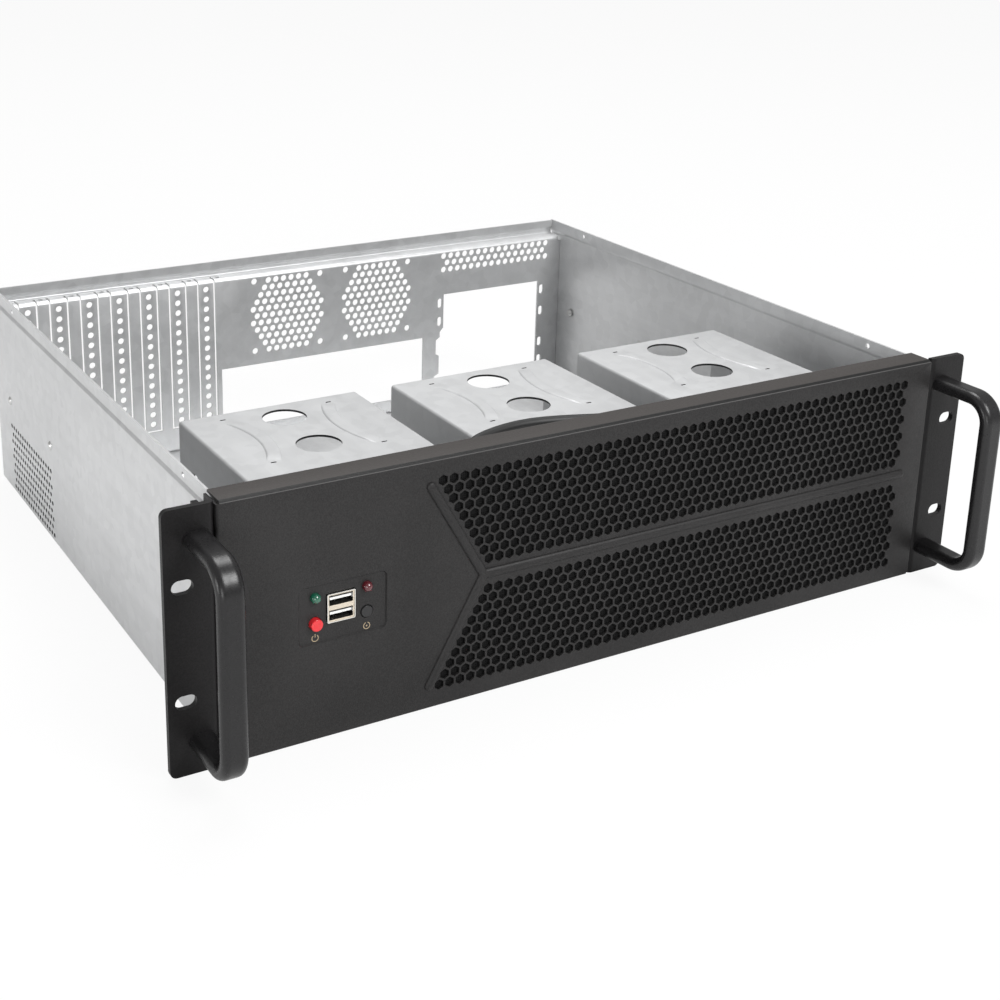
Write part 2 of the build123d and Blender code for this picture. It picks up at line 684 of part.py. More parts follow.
def button(x, proud):
    """Push button: cap, flange that keeps it behind the panel, and stem to the switch."""
    z = up(BUTTON_H)
    flange_y = RECESS_BACK_Y + BUTTON_REST
    stem_y = flange_y + BUTTON_FLANGE_T
    cap = rod_y(x, z, BUTTON_R, (RECESS_Y - proud, stem_y))
    cap = fillet(cap.faces().sort_by(Axis.Y)[0].edges(), BUTTON_EDGE_R)
    cap += rod_y(x, z, BUTTON_FLANGE_R, (flange_y, stem_y))
    return cap + rod_y(x, z, BUTTON_STEM_R, (stem_y, stem_y + BUTTON_STEM))


def push_switch(x):
    """Switch on the board behind a button, clear of the stem by the button's travel."""
    z = up(BUTTON_H)
    stem_end = RECESS_BACK_Y + BUTTON_REST + BUTTON_FLANGE_T + BUTTON_STEM
    front = stem_end + BUTTON_TRAVEL + SEAT
    half = SWITCH_SIZE / 2
    body = block((x - half, x + half), (front, BOARD_Y), (z - half, z + half))
    bore_r = BUTTON_STEM_R + GUIDE_CLEAR
    guide = rod_y(x, z, bore_r + GUIDE_WALL, (stem_end - GUIDE_LAP, front))
    guide -= rod_y(x, z, bore_r, (stem_end - GUIDE_LAP - 1, front))
    return body + guide


def usb_shell():
    """Plated shell round the double socket."""
    y_range = (RECESS_Y - USB_PROUD, BOARD_Y)
    shell = usb_block(0, y_range)
    shell = fillet(shell.edges().filter_by(Axis.Y), USB_CORNER_R)
    return shell - usb_block(USB_WALL, (y_range[0] - 1, BOARD_Y + 1))


def usb_block(inset, y_range):
    """Box as wide and high as the double socket, less an inset on each side."""
    half_width = USB_WIDTH / 2 - inset
    half_height = USB_HEIGHT / 2 - inset
    z_range = (up(USB_H) - half_height, up(USB_H) + half_height)
    return block((USB_X - half_width, USB_X + half_width), y_range, z_range)


def usb_insert():
    """Insulator inside the shell: two ports, each with its tongue along the top."""
    front = RECESS_Y - USB_PROUD + INSERT_BACK
    insert = usb_block(USB_WALL, (front, BOARD_Y))
    port = (USB_X - PORT_WIDTH / 2, USB_X + PORT_WIDTH / 2)
    for side in (-1, 1):
        low = up(USB_H) + side * (PORT_GAP + PORT_HEIGHT) / 2 - PORT_HEIGHT / 2
        cavity = block(port, (front - 1, front + PORT_DEPTH), (low, low + PORT_HEIGHT))
        tongue_x = (port[0] + TONGUE_SIDE, port[1] - TONGUE_SIDE)
        top = low + PORT_HEIGHT - TONGUE_TOP
        cavity -= block(tongue_x, (front + TONGUE_BACK, front + PORT_DEPTH), (top - TONGUE_T, top))
        insert -= cavity
    return insert


def control_board():
    """Board behind the control area, with the socket that the lead leaves from."""
    half_width = BOARD_WIDTH / 2
    half_height = BOARD_HEIGHT / 2
    middle = up(CONTROL_H)
    y_range = (BOARD_Y, BOARD_Y + BOARD_T)
    z_range = (middle - half_height, middle + half_height)
    board = block((CONTROL_X - half_width, CONTROL_X + half_width), y_range, z_range)
    through = (BOARD_Y - 1, BOARD_Y + BOARD_T + 1)
    board -= [rod_y(x, z, SCREW_R + HOLE_CLEAR, through) for x, z in board_places()]
    end_x, end_y, end_h = LEAD_ROUTE[0]
    socket_y = (BOARD_Y + BOARD_T, BOARD_Y + BOARD_T + SOCKET_DEPTH)
    half = SOCKET_HEIGHT / 2
    board += block((end_x - SOCKET_WIDTH, end_x), socket_y, (up(end_h) - half, up(end_h) + half))
    return board


def board_places():
    """Corners where the control board is screwed down."""
    x = BOARD_WIDTH / 2 - BOARD_SCREW_INSET
    z = BOARD_HEIGHT / 2 - BOARD_SCREW_INSET
    middle = up(CONTROL_H)
    sides = [(-1, -1), (-1, 1), (1, -1), (1, 1)]
    return [(CONTROL_X + side_x * x, middle + side_z * z) for side_x, side_z in sides]


def board_spacers():
    """Threaded pillars between the front panel and the control board."""
    y_range = (RECESS_BACK_Y, BOARD_Y)
    pillars = []
    for x, z in board_places():
        pillar = rod_y(x, z, SPACER_R, y_range)
        pillar -= rod_y(x, z, SCREW_R, (BOARD_Y - SPACER_BORE, BOARD_Y + 1))
        pillars.append(pillar)
    return pillars


def board_screws():
    """Screws that hold the control board."""
    seat = BOARD_Y + BOARD_T
    screws = []
    for x, z in board_places():
        shank = rod_y(x, z, SCREW_R - THREAD_CLEAR, (BOARD_Y - BOARD_SCREW_BITE, seat))
        screws.append(shank + rod_y(x, z, BOARD_SCREW_HEAD_R, (seat, seat + SCREW_HEAD_H)))
    return screws


def ear(side):
    """Rack ear: one folded plate with two rack slots and a leg along the side wall."""
    leg_x = FASCIA_WIDTH / 2
    outline = [
        (RACK_WIDTH / 2, -EAR_T),
        (RACK_WIDTH / 2, 0),
        (leg_x + EAR_T, 0),
        (leg_x + EAR_T, EAR_LEG),
        (leg_x, EAR_LEG),
        (leg_x, -EAR_T),
    ]
    section = make_face(Polyline(outline, close=True))
    bend = section.vertices().sort_by_distance((leg_x, -EAR_T))[0]
    section = fillet(bend, EAR_BEND_R)
    plate = Pos(0, 0, up(0)) * extrude(section, RACK_HEIGHT)
    plate = fillet(plate.faces().sort_by(Axis.X)[-1].edges().filter_by(Axis.Y), EAR_CORNER_R)
    for z_range in ((up(-1), up(EAR_LEG_INSET)), (up(RACK_HEIGHT - EAR_LEG_INSET), up(RACK_HEIGHT + 1))):
        plate -= block((leg_x - 1, RACK_WIDTH / 2 + 1), (0, EAR_LEG + 1), z_range)
    for height in (-SLOT_SPACING_Z / 2, SLOT_SPACING_Z / 2):
        slot = Pos(SLOT_X, height) * SlotOverall(SLOT_LENGTH, SLOT_HEIGHT)
        plate -= extrude(front_sketch(slot, -EAR_T - 1), -(EAR_T + 2))
    for height in (HANDLE_TOP_H, HANDLE_LOW_H):
        plate -= handle_screw(height, HOLE_CLEAR)
    plate -= ear_screw_holes()
    return plate if side > 0 else mirror(plate, Plane.YZ)


def handle_screw(height, clear):
    """Countersunk screw from behind the right ear into a handle's leg."""
    z = up(height)
    shank = rod_y(HANDLE_X, z, HANDLE_SCREW_R + clear, (-EAR_T - HANDLE_SCREW_BITE - clear, 0))
    head = Cone(HANDLE_SCREW_HEAD_R + clear, HANDLE_SCREW_R + clear, HANDLE_SCREW_HEAD_H)
    return shank + Pos(HANDLE_X, -HANDLE_SCREW_HEAD_H / 2, z) * Rot(90, 0, 0) * head


def handle_screws():
    """The four handle screws."""
    right = [handle_screw(height, 0) for height in (HANDLE_TOP_H, HANDLE_LOW_H)]
    return right + [mirror(screw, Plane.YZ) for screw in right]


def handle(side):
    """U handle bent from flat oval bar, screwed from behind at both ends."""
    base = -EAR_T
    grip = base - HANDLE_REACH
    points = [
        (HANDLE_X, base, up(HANDLE_LOW_H)),
        (HANDLE_X, grip, up(HANDLE_LOW_H)),
        (HANDLE_X, grip, up(HANDLE_TOP_H)),
        (HANDLE_X, base, up(HANDLE_TOP_H)),
    ]
    path = FilletPolyline(*points, radius=HANDLE_BEND_R)
    start = Plane(origin=points[0], x_dir=(1, 0, 0), z_dir=(0, -1, 0))
    section = start * RectangleRounded(HANDLE_WIDTH, HANDLE_DEPTH, HANDLE_DEPTH / 2 - 0.1)
    bar = sweep(section, path=path)
    for height in (HANDLE_TOP_H, HANDLE_LOW_H):
        bar -= rod_y(HANDLE_X, up(height), HANDLE_SCREW_R, (base - HANDLE_SCREW_BITE - 1, base + 1))
    return bar if side > 0 else mirror(bar, Plane.YZ)


def ear_screws():
    """Pan head screws through the ear legs, the front panel's side flanges and the walls."""
    seat = FASCIA_WIDTH / 2 + EAR_T
    screws = []
    for side in (-1, 1):
        for height in EAR_SCREW_HEIGHTS:
            shank = sorted((side * seat, side * (WALL_IN_X - EAR_SCREW_PAST)))
            head = sorted((side * seat, side * (seat + SCREW_HEAD_H)))
            screw = rod_x(EAR_SCREW_Y, up(height), EAR_SCREW_R, shank)
            screws.append(screw + rod_x(EAR_SCREW_Y, up(height), EAR_SCREW_HEAD_R, head))
    return screws


def rivet_x(side, y, inner_x):
    """Rivet through a side wall with a low round head on each face."""
    outer_x = BODY_WIDTH / 2
    body = rod_x(y, up(REAR_RIVET_H), RIVET_R, (inner_x, outer_x))
    for face, way in ((inner_x, -90), (outer_x, 90)):
        head = Cone(RIVET_HEAD_R, RIVET_HEAD_R / 2, RIVET_HEAD_H)
        shift = RIVET_HEAD_H / 2 if way > 0 else -RIVET_HEAD_H / 2
        body += Pos(face + shift, y, up(REAR_RIVET_H)) * Rot(0, way, 0) * head
    return body if side > 0 else mirror(body, Plane.YZ)


def rear_rivets():
    """Rivets through the rear panel's side flanges and foot."""
    inner = WALL_IN_X - SEAT - BODY_T
    rivets = [rivet_x(side, PLATE_Y - REAR_RIVET_BACK, inner) for side in (-1, 1)]
    for x in FLOOR_RIVETS_X:
        top = FLOOR_H + BODY_T
        shank = rod_z(x, rivet_floor_y(), RIVET_R, (up(BODY_LOW_H), up(top)))
        rivets.append(shank + rod_z(x, rivet_floor_y(), RIVET_HEAD_R, (up(top), up(top + RIVET_HEAD_H))))
    return rivets


def side_rivets():
    """Rivets further forward in both walls."""
    return [rivet_x(side, SIDE_RIVET_Y, WALL_IN_X) for side in (-1, 1)]


def cage_screw_places():
    """Where the cages' feet are screwed to the floor."""
    places = []
    for centre in CAGE_CENTRES_X:
        for side in (-1, 1):
            x = centre + side * (CAGE_WIDTH / 2 + CAGE_FOOT / 2)
            places += [(x, CAGE_FRONT_Y + CAGE_SCREW_INSET), (x, CAGE_REAR_Y - CAGE_SCREW_INSET)]
    return places


def drive_cage(centre):
    """Drive cage: one sheet folded over, with feet, two large holes, dimples and curved beads."""
    half = CAGE_WIDTH / 2 - BODY_T / 2
    foot = up(FLOOR_H + BODY_T / 2)
    top = up(CAGE_TOP_H - BODY_T / 2)
    points = [
        (centre - CAGE_WIDTH / 2 - CAGE_FOOT, foot),
        (centre - half, foot),
        (centre - half, top),
        (centre + half, top),
        (centre + half, foot),
        (centre + CAGE_WIDTH / 2 + CAGE_FOOT, foot),
    ]
    section = Plane(origin=(0, CAGE_FRONT_Y, 0), x_dir=(1, 0, 0), z_dir=(0, -1, 0))
    cage = folded(points, [CAGE_BEND_R] * 4, section, -(CAGE_REAR_Y - CAGE_FRONT_Y))
    cage += [bead(centre, side) for side in (-1, 1)]
    for side in (-1, 1):
        for y in (DIMPLE_FRONT_Y, DIMPLE_REAR_Y):
            cage += dimple(centre + side * DIMPLE_X, y)
            slit = Box(SLIT_LENGTH, SLIT_WIDTH, 4 * BODY_T)
            cage -= Pos(centre + side * DIMPLE_X, y, up(CAGE_TOP_H)) * slit
    for y in (CAGE_HOLE_FRONT_Y, CAGE_HOLE_REAR_Y):
        cage -= rod_z(centre, y, CAGE_HOLE_R, (up(CAGE_TOP_H - 3), up(CAGE_TOP_H + 3)))
    cage -= drive_slots(centre)
    floor_range = (up(FLOOR_H - 1), up(FLOOR_H + BODY_T + 1))
    cage -= [rod_z(x, y, SCREW_R + HOLE_CLEAR, floor_range) for x, y in cage_screw_places()]
    return cage


def dimple(x, y):
    """Low round boss pressed up round a screw slit."""
    cone = Cone(DIMPLE_R, DIMPLE_R * 0.6, DIMPLE_HEIGHT)
    return Pos(x, y, up(CAGE_TOP_H) + DIMPLE_HEIGHT / 2) * cone


def bead(centre, side):
    """Curved stiffening bead pressed up between the front and rear dimples."""
    x = centre + side * DIMPLE_X
    middle = (DIMPLE_FRONT_Y + DIMPLE_REAR_Y) / 2
    arc = ThreePointArc(
        (x, DIMPLE_FRONT_Y + DIMPLE_R),
        (x - side * BEAD_BOW, middle),
        (x, DIMPLE_REAR_Y - DIMPLE_R),
    )
    return Pos(0, 0, up(CAGE_TOP_H)) * extrude(trace(arc, BEAD_WIDTH), BEAD_HEIGHT, taper=BEAD_DRAFT)


def drive_slots(centre):
    """Slots in both cage sides for the drives' screws."""
    cuts = []
    half = CAGE_WIDTH / 2 + 2
    section = Plane(origin=(centre - half, 0, 0), x_dir=(0, 1, 0), z_dir=(1, 0, 0))
    for height in DRIVE_SLOT_HEIGHTS:
        for y in (CAGE_FRONT_Y + DRIVE_SLOT_EDGE, CAGE_REAR_Y - DRIVE_SLOT_EDGE):
            slot = Pos(y, up(height)) * SlotOverall(DRIVE_SLOT_LENGTH, DRIVE_SLOT_WIDTH)
            cuts.append(extrude(section * slot, 2 * half))
    return cuts


def cage_screws():
    """Screws through the cages' feet into the floor."""
    seat = up(FLOOR_H + BODY_T)
    screws = []
    for x, y in cage_screw_places():
        shank = rod_z(x, y, SCREW_R - THREAD_CLEAR, (up(BODY_LOW_H), seat))
        screws.append(shank + rod_z(x, y, SCREW_HEAD_R, (seat, seat + SCREW_HEAD_H)))
    return screws


def standoff_places():
    """Where the motherboard's standoffs stand on the floor."""
    rear = PLATE_Y - BOARD_FIRST_ROW
    return [(BOARD_LEFT_COLUMN_X + column, rear - row) for column in BOARD_COLUMNS for row in BOARD_ROWS]


def board_standoffs():
    """Hexagonal brass standoffs with a threaded hole down the middle."""
    pillars = []
    for x, y in standoff_places():
        hexagon = RegularPolygon(STANDOFF_FLATS / 2, 6, major_radius=False)
        pillar = extrude(Pos(x, y, up(FLOOR_H)) * hexagon, STANDOFF_H)
        stub_range = (up(BODY_LOW_H), up(FLOOR_H + STANDOFF_STUB))
        stub = rod_z(x, y, STANDOFF_HOLE_R - THREAD_CLEAR, stub_range)
        hole_range = (up(FLOOR_H + STANDOFF_FLOOR), up(FLOOR_H + STANDOFF_H + 1))
        pillars.append(pillar + stub - rod_z(x, y, STANDOFF_HOLE_R, hole_range))
    return pillars


def lead_path():
    """Runs of the lead joined by tangent arcs, each as large as its two runs allow."""
    points = [Vector(x, y, up(height)) for x, y, height in LEAD_ROUTE]
    runs = [after - before for before, after in zip(points, points[1:])]
    radii = []
    for first, second in zip(runs, runs[1:]):
        half_turn = radians(first.get_angle(second)) / 2
        radii.append(0.45 * min(first.length, second.length) / tan(half_turn))
    print("lead radii", [round(radius, 1) for radius in radii])
    return FilletPolyline(*points, radius=radii)


def panel_lead():
    """Lead from the control board over the middle cage and back along the floor."""
    path = lead_path()
    print("lead length", round(path.length, 1))
    start = Plane(origin=path @ 0, z_dir=path % 0)
    lead = sweep(start * Circle(LEAD_R), path=path)
    straight = pi * LEAD_R ** 2 * path.length
    print("lead volume over section times length", round(lead.volume / straight, 4))
    return lead


def header_plug():
    """Plug on the end of the lead, lying on the floor."""
    last = Vector(*LEAD_ROUTE[-1])
    way = last - Vector(*LEAD_ROUTE[-2])
    frame = Plane(origin=(last.X, last.Y, up(last.Z)), x_dir=(way.Y, -way.X, 0), z_dir=(0, 0, 1))
    width, length, height = PLUG_SIZE
    body = Pos(0, length / 2, 0) * Box(width, length, height)
    body = fillet(body.edges().filter_by(Axis.Z), PLUG_EDGE_R)
    cell = Pos(0, length, 0) * Box(width - 2 * PLUG_WALL, 2 * PLUG_CELL_DEPTH, height - 2 * PLUG_WALL)
    return frame * (body - cell)


os.makedirs("parts", exist_ok=True)


def save(name, shape):
    """Write one node; a list becomes a group of separate solids."""
    if isinstance(shape, list):
        solids = [solid for item in shape for solid in item.solids()]
        shape = Compound(children=solids)
    export_step(shape, "parts/" + name + ".step")


save("chassis_tub", chassis_tub())
save("rear_panel", rear_panel())
save("rear_rivets", rear_rivets())
save("side_rivets", side_rivets())
save("front_frame", front_frame())
save("dust_filter", dust_filter())
save("fascia", fascia())
save("ear_left", ear(-1))
save("ear_right", ear(1))
save("ear_screws", ear_screws())
save("handle_left", handle(-1))
save("handle_right", handle(1))
save("handle_screws", handle_screws())
save("power_lamp", lamp(POWER_X))
save("drive_lamp", lamp(RESET_X))
save("lamp_spacers", lamp_spacers())
save("power_button", button(POWER_X, POWER_PROUD))
save("reset_button", button(RESET_X, RESET_PROUD))
save("power_switch", push_switch(POWER_X))
save("reset_switch", push_switch(RESET_X))
save("usb_shell", usb_shell())
save("usb_insert", usb_insert())
save("control_board", control_board())
save("board_spacers", board_spacers())
save("board_screws", board_screws())
for name, centre in zip(("left", "middle", "right"), CAGE_CENTRES_X):
    save("drive_cage_" + name, drive_cage(centre))
save("cage_screws", cage_screws())
save("board_standoffs", board_standoffs())
save("panel_lead", panel_lead())
save("header_plug", header_plug())
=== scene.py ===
import bpy
import bmesh
from math import asin, atan2, cos, pi, radians, sin, sqrt, tan
from mathutils import Matrix, Vector


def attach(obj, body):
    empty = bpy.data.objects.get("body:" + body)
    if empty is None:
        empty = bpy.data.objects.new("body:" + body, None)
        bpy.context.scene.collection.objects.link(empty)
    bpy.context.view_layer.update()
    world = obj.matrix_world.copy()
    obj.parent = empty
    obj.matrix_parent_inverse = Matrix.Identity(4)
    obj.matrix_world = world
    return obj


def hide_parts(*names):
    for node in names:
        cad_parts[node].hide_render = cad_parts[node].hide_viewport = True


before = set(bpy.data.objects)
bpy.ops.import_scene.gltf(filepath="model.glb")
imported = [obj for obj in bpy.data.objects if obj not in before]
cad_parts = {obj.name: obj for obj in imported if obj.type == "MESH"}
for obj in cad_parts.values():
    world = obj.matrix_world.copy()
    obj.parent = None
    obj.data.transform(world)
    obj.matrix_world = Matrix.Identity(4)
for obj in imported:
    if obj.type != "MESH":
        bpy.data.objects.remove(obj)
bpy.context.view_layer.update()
print("frame loaded,", len(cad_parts), "nodes")

# Lengths are in millimetres until a finished piece is scaled to metres.
# Heights count from the underside of the case, and up() turns them into Z.
case = {
    "height": 132.55,
    "width": 429.6,
    "panelWidth": 432.0,
    "sheet": 1.2,
    "frontY": -3.6,
    "plateY": 364.4,
    "rearY": 376.4,
    "ledge": 121.5,
    "lidStep": 1.2,
    "topHeight": 131.35,
    "bottomHeight": 1.2,
    "floorHeight": 2.4,
    "sharpAngle": 32,
}


def up(height):
    return height - case["height"] / 2


def metres(*lengths):
    return tuple(length / 1000 for length in lengths)


# Camera, as fitted to the photograph's corners and rack slots

cameraFit = {
    "place": (-452.15, -600.33, 347.33),
    "heading": 28.78,
    "dip": 17.55,
    "roll": 0.66,
    "sensor": 36,
    "focal": 1.586,  # in widths of the sensor
    "shift": (0.098, -0.17),
    "clipEnd": 50,  # in metres
}


def makeCamera(fit):
    data = bpy.data.cameras.new("camera")
    data.sensor_width = fit["sensor"]
    data.lens = fit["focal"] * fit["sensor"]
    data.shift_x, data.shift_y = fit["shift"]
    data.clip_end = fit["clipEnd"]
    camera = bpy.data.objects.new("camera", data)
    bpy.context.scene.collection.objects.link(camera)
    turn = Matrix.Rotation(radians(-fit["heading"]), 4, "Z")
    turn @= Matrix.Rotation(radians(90 - fit["dip"]), 4, "X")
    turn @= Matrix.Rotation(radians(fit["roll"]), 4, "Z")
    camera.matrix_world = Matrix.Translation(metres(*fit["place"])) @ turn
    bpy.context.scene.camera = camera


makeCamera(cameraFit)
print("camera placed")


# Shader sockets with operators, so that shader maths reads as plain expressions

class Wire:
    def __init__(self, paint, socket):
        self.paint = paint
        self.socket = socket

    def work(self, operation, *values):
        return self.paint.node("ShaderNodeMath", {"operation": operation}, dict(enumerate(values)))

    def __add__(self, other):
        return self.work("ADD", self, other)

    def __radd__(self, other):
        return self.work("ADD", other, self)

    def __sub__(self, other):
        return self.work("SUBTRACT", self, other)

    def __rsub__(self, other):
        return self.work("SUBTRACT", other, self)

    def __mul__(self, other):
        return self.work("MULTIPLY", self, other)

    def __rmul__(self, other):
        return self.work("MULTIPLY", other, self)

    def __gt__(self, other):
        return self.work("GREATER_THAN", self, other)

    def __lt__(self, other):
        return self.work("LESS_THAN", self, other)

    def larger(self, other):
        return self.work("MAXIMUM", self, other)


class Paint:
    # the nodes of a material or of the world, round the shader it starts with
    def __init__(self, owner, shader="Principled BSDF"):
        owner.use_nodes = True
        self.owner = owner
        self.tree = owner.node_tree
        self.shader = self.tree.nodes[shader]

    @property
    def spot(self):
        return self.node("ShaderNodeTexCoord", out="Object")

    def feed(self, socket, value):
        if isinstance(value, Wire):
            self.tree.links.new(value.socket, socket)
        else:
            socket.default_value = value

    def node(self, kind, settings=None, sockets=None, out=0):
        made = self.tree.nodes.new(kind)
        for key, value in (settings or {}).items():
            setattr(made, key, value)
        for key, value in (sockets or {}).items():
            self.feed(made.inputs[key], value)
        return Wire(self, made.outputs[out])

    def noise(self, scale, detail=2, roughness=0.5, spot=None):
        sockets = {"Scale": scale, "Detail": detail, "Roughness": roughness}
        sockets["Vector"] = spot or self.spot
        return self.node("ShaderNodeTexNoise", {}, sockets)

    def stretched(self, scale):
        settings = {"operation": "MULTIPLY"}
        return self.node("ShaderNodeVectorMath", settings, {0: self.spot, 1: scale})

    def mix(self, factor, first, second):
        sockets = {0: factor, 6: tone(first), 7: tone(second)}
        return self.node("ShaderNodeMix", {"data_type": "RGBA"}, sockets, out=2)

    def spread(self, value, low, high):
        # 0 at the low value, 1 at the high one
        sockets = {"Value": value, "From Min": low, "From Max": high}
        return self.node("ShaderNodeMapRange", {}, sockets)

    def along(self, axis):
        # the place along an axis, in millimetres
        return self.node("ShaderNodeSeparateXYZ", {}, {0: self.spot}, out=axis) * 1000

    def between(self, axis, low, high):
        return (self.along(axis) > low) * (self.along(axis) < high)

    def bump(self, height, strength, distance):
        sockets = {"Height": height, "Strength": strength, "Distance": distance}
        self.feed(self.shader.inputs["Normal"], self.node("ShaderNodeBump", {}, sockets))

    def surface(self, **values):
        names = {
            "colour": "Base Color",
            "metal": "Metallic",
            "rough": "Roughness",
            "coat": "Coat Weight",
            "coatRough": "Coat Roughness",
            "gloss": "Specular IOR Level",
        }
        for key, value in values.items():
            self.feed(self.shader.inputs[names[key]], value)
        return self.owner


def newPaint(name):
    return Paint(bpy.data.materials.new(name))


def tone(colour):
    # a plain colour gets its alpha, and a wire stays as it is
    return colour if isinstance(colour, Wire) else (*colour, 1.0)


# Galvanised steel: spangles, rolling marks that run front to back, and clouds

steelGrain = {
    "spangle": 160.0,
    "rolling": 60.0,
    "rollingStretch": (2.0, 0.15, 2.0),
    "cloud": 9.0,
    "shares": (0.18, 0.42, 0.4),
    "spread": (0.3, 0.7),
    "holeWallShade": (0.03, 0.03, 0.03),
    "spangleRelief": 0.3,
    "bump": (0.12, 0.0002),
    "roughSpread": 0.16,
}


def galvanised(name, dark, light, rough, metal=0.55, cuts=()):
    grain = steelGrain
    paint = newPaint(name)
    sockets = {"Vector": paint.spot, "Scale": grain["spangle"]}
    cells = paint.node("ShaderNodeTexVoronoi", {}, sockets, out="Color")
    spangle = paint.node("ShaderNodeSeparateColor", {}, {0: cells})
    rolled = paint.noise(grain["rolling"], 3, 0.6, paint.stretched(grain["rollingStretch"]))
    cloud = paint.noise(grain["cloud"])
    spangleShare, rolledShare, cloudShare = grain["shares"]
    shade = spangle * spangleShare + rolled * rolledShare + cloud * cloudShare
    colour = paint.mix(paint.spread(shade, *grain["spread"]), dark, light)
    # painted shade: the sheet's cut walls inside these regions are darkened
    for left, right, low, high in cuts:
        edge = paint.between("X", left, right) * paint.between("Z", up(low), up(high))
        colour = paint.mix(edge, colour, grain["holeWallShade"])
    paint.bump(spangle * grain["spangleRelief"] + rolled, *grain["bump"])
    rough = rough + (shade - 0.5) * grain["roughSpread"]
    return paint.surface(colour=colour, metal=metal, rough=rough)


# Powder coat: a fine pebbled grain under clouds

coatGrain = {
    "speck": 0.45,  # against the size of the grain
    "cloud": 14.0,
    "shares": (0.6, 0.4),
    "spread": (0.35, 0.65),
    "speckRelief": 0.5,
    "bumpDistance": 0.00025,
    "roughSpread": 0.15,
}


def powderCoat(name, dark, light, rough, gloss, grainSize=1500.0, strength=0.35, paintedBands=()):
    paint = newPaint(name)
    grain = paint.noise(grainSize, 2, 0.6)
    speck = paint.noise(grainSize * coatGrain["speck"], 1)
    cloud = paint.noise(coatGrain["cloud"])
    grainShare, cloudShare = coatGrain["shares"]
    shade = paint.spread(grain * grainShare + cloud * cloudShare, *coatGrain["spread"])
    colour = paint.mix(shade, dark, light)
    # each band mixes painted light into the coat: painted shade or painted highlight
    for low, high, rearY, share, shown in paintedBands:
        paintedBand = paint.between("Z", up(low), up(high)) * (paint.along("Y") < rearY) * share
        colour = paint.mix(paintedBand, colour, shown)
    relief = grain + speck * coatGrain["speckRelief"]
    paint.bump(relief, strength, coatGrain["bumpDistance"])
    rough = rough + (speck - 0.5) * coatGrain["roughSpread"]
    return paint.surface(colour=colour, rough=rough, gloss=gloss)


# Plastics and plated metals: one colour with a darker one clouded in

plasticGrain = {
    "cloud": 420.0,
    "darker": 0.82,
    "pebble": 2200.0,
    "bump": (0.08, 0.0001),
    "roughSpread": 0.08,
    "coatRough": 0.08,
}

platingGrain = {
    "scuff": 700.0,
    "darker": 0.75,
    "roughSpread": 0.2,
}


def plastic(name, colour, rough, coat=0.0):
    grain = plasticGrain
    paint = newPaint(name)
    cloud = paint.noise(grain["cloud"])
    darker = [grain["darker"] * part for part in colour]
    paint.bump(paint.noise(grain["pebble"]), *grain["bump"])
    return paint.surface(
        colour=paint.mix(cloud, darker, colour),
        rough=rough + (cloud - 0.5) * grain["roughSpread"],
        coat=coat,
        coatRough=grain["coatRough"],
    )


def plated(name, colour, rough):
    grain = platingGrain
    paint = newPaint(name)
    scuff = paint.noise(grain["scuff"], 3, 0.6)
    darker = [grain["darker"] * part for part in colour]
    return paint.surface(
        colour=paint.mix(scuff, darker, colour),
        metal=1.0,
        rough=rough + (scuff - 0.5) * grain["roughSpread"],
    )


# Filter: two sets of threads that cross

weave = {
    "threads": 260.0,
    "spread": (0.55, 0.95),
    "patch": 70.0,
    "dark": (0.001, 0.001, 0.001),
    "light": (0.007, 0.007, 0.0072),
    "bump": (0.4, 0.0003),
    "rough": 0.8,
    "roughSpread": 0.2,
    "gloss": 0.15,
}


def wovenFilter(name, weave):
    paint = newPaint(name)
    bands = []
    for direction in ("X", "Z"):
        settings = {"wave_type": "BANDS", "bands_direction": direction}
        sockets = {"Vector": paint.spot, "Scale": weave["threads"]}
        bands.append(paint.node("ShaderNodeTexWave", settings, sockets, out="Fac"))
    threads = bands[0].larger(bands[1])
    shown = paint.spread(threads, *weave["spread"])
    patch = paint.noise(weave["patch"])
    colour = paint.mix(shown * patch, weave["dark"], weave["light"])
    paint.bump(threads, *weave["bump"])
    rough = weave["rough"] - shown * weave["roughSpread"]
    return paint.surface(colour=colour, rough=rough, gloss=weave["gloss"])


# Socket insert: ivory housing, white tongues and painted shade in the wells, told apart by their
# place

ports = {
    "front": -3.3,
    "tongues": (63.25, 70.75),
    "thickness": 1.9,
    "margin": 0.1,
    "housing": (0.62, 0.55, 0.45),
    "wellShade": (0.012, 0.011, 0.01),
    "tongue": (0.82, 0.82, 0.8),
    "grain": 500.0,
    "rough": 0.4,
    "roughSpread": 0.1,
}


def socketInsert(name, ports):
    paint = newPaint(name)
    margin = ports["margin"]
    # everything behind the front face is painted dark as painted shade in the wells, but for the
    # tongues
    wellShade = paint.along("Y") > ports["front"] + margin
    colour = paint.mix(wellShade, ports["housing"], ports["wellShade"])
    for low in ports["tongues"]:
        band = paint.between("Z", up(low) - margin, up(low) + ports["thickness"] + margin)
        colour = paint.mix(wellShade * band, colour, ports["tongue"])
    rough = ports["rough"] + paint.noise(ports["grain"]) * ports["roughSpread"]
    return paint.surface(colour=colour, rough=rough)


# Painted light on the front panel's top bend: low and high height, rear end in Y, share, colour.
# The flange's top comes first, a warm tint with painted light from above, then a painted shadow
# line and a painted highlight below it.
topBendLightAndShade = (
    (132.5, 132.7, 20.0, 0.7, (0.05, 0.044, 0.041)),
    (131.6, 132.7, -1.9, 1.0, (0.002, 0.002, 0.002)),
    (131.15, 131.6, -2.3, 1.0, (0.09, 0.088, 0.088)),
)

# Painted shade on the sheet's cut walls in the holes and slits: left and right X, low and high
# height
wallHoleShade = ((-214.75, -213.65, 5.0, 122.0), (213.65, 214.75, 5.0, 122.0))
cageHoleShade = tuple((left, left + 73.0, 110.85, 111.95) for left in (-160.0, -32.0, 96.0))

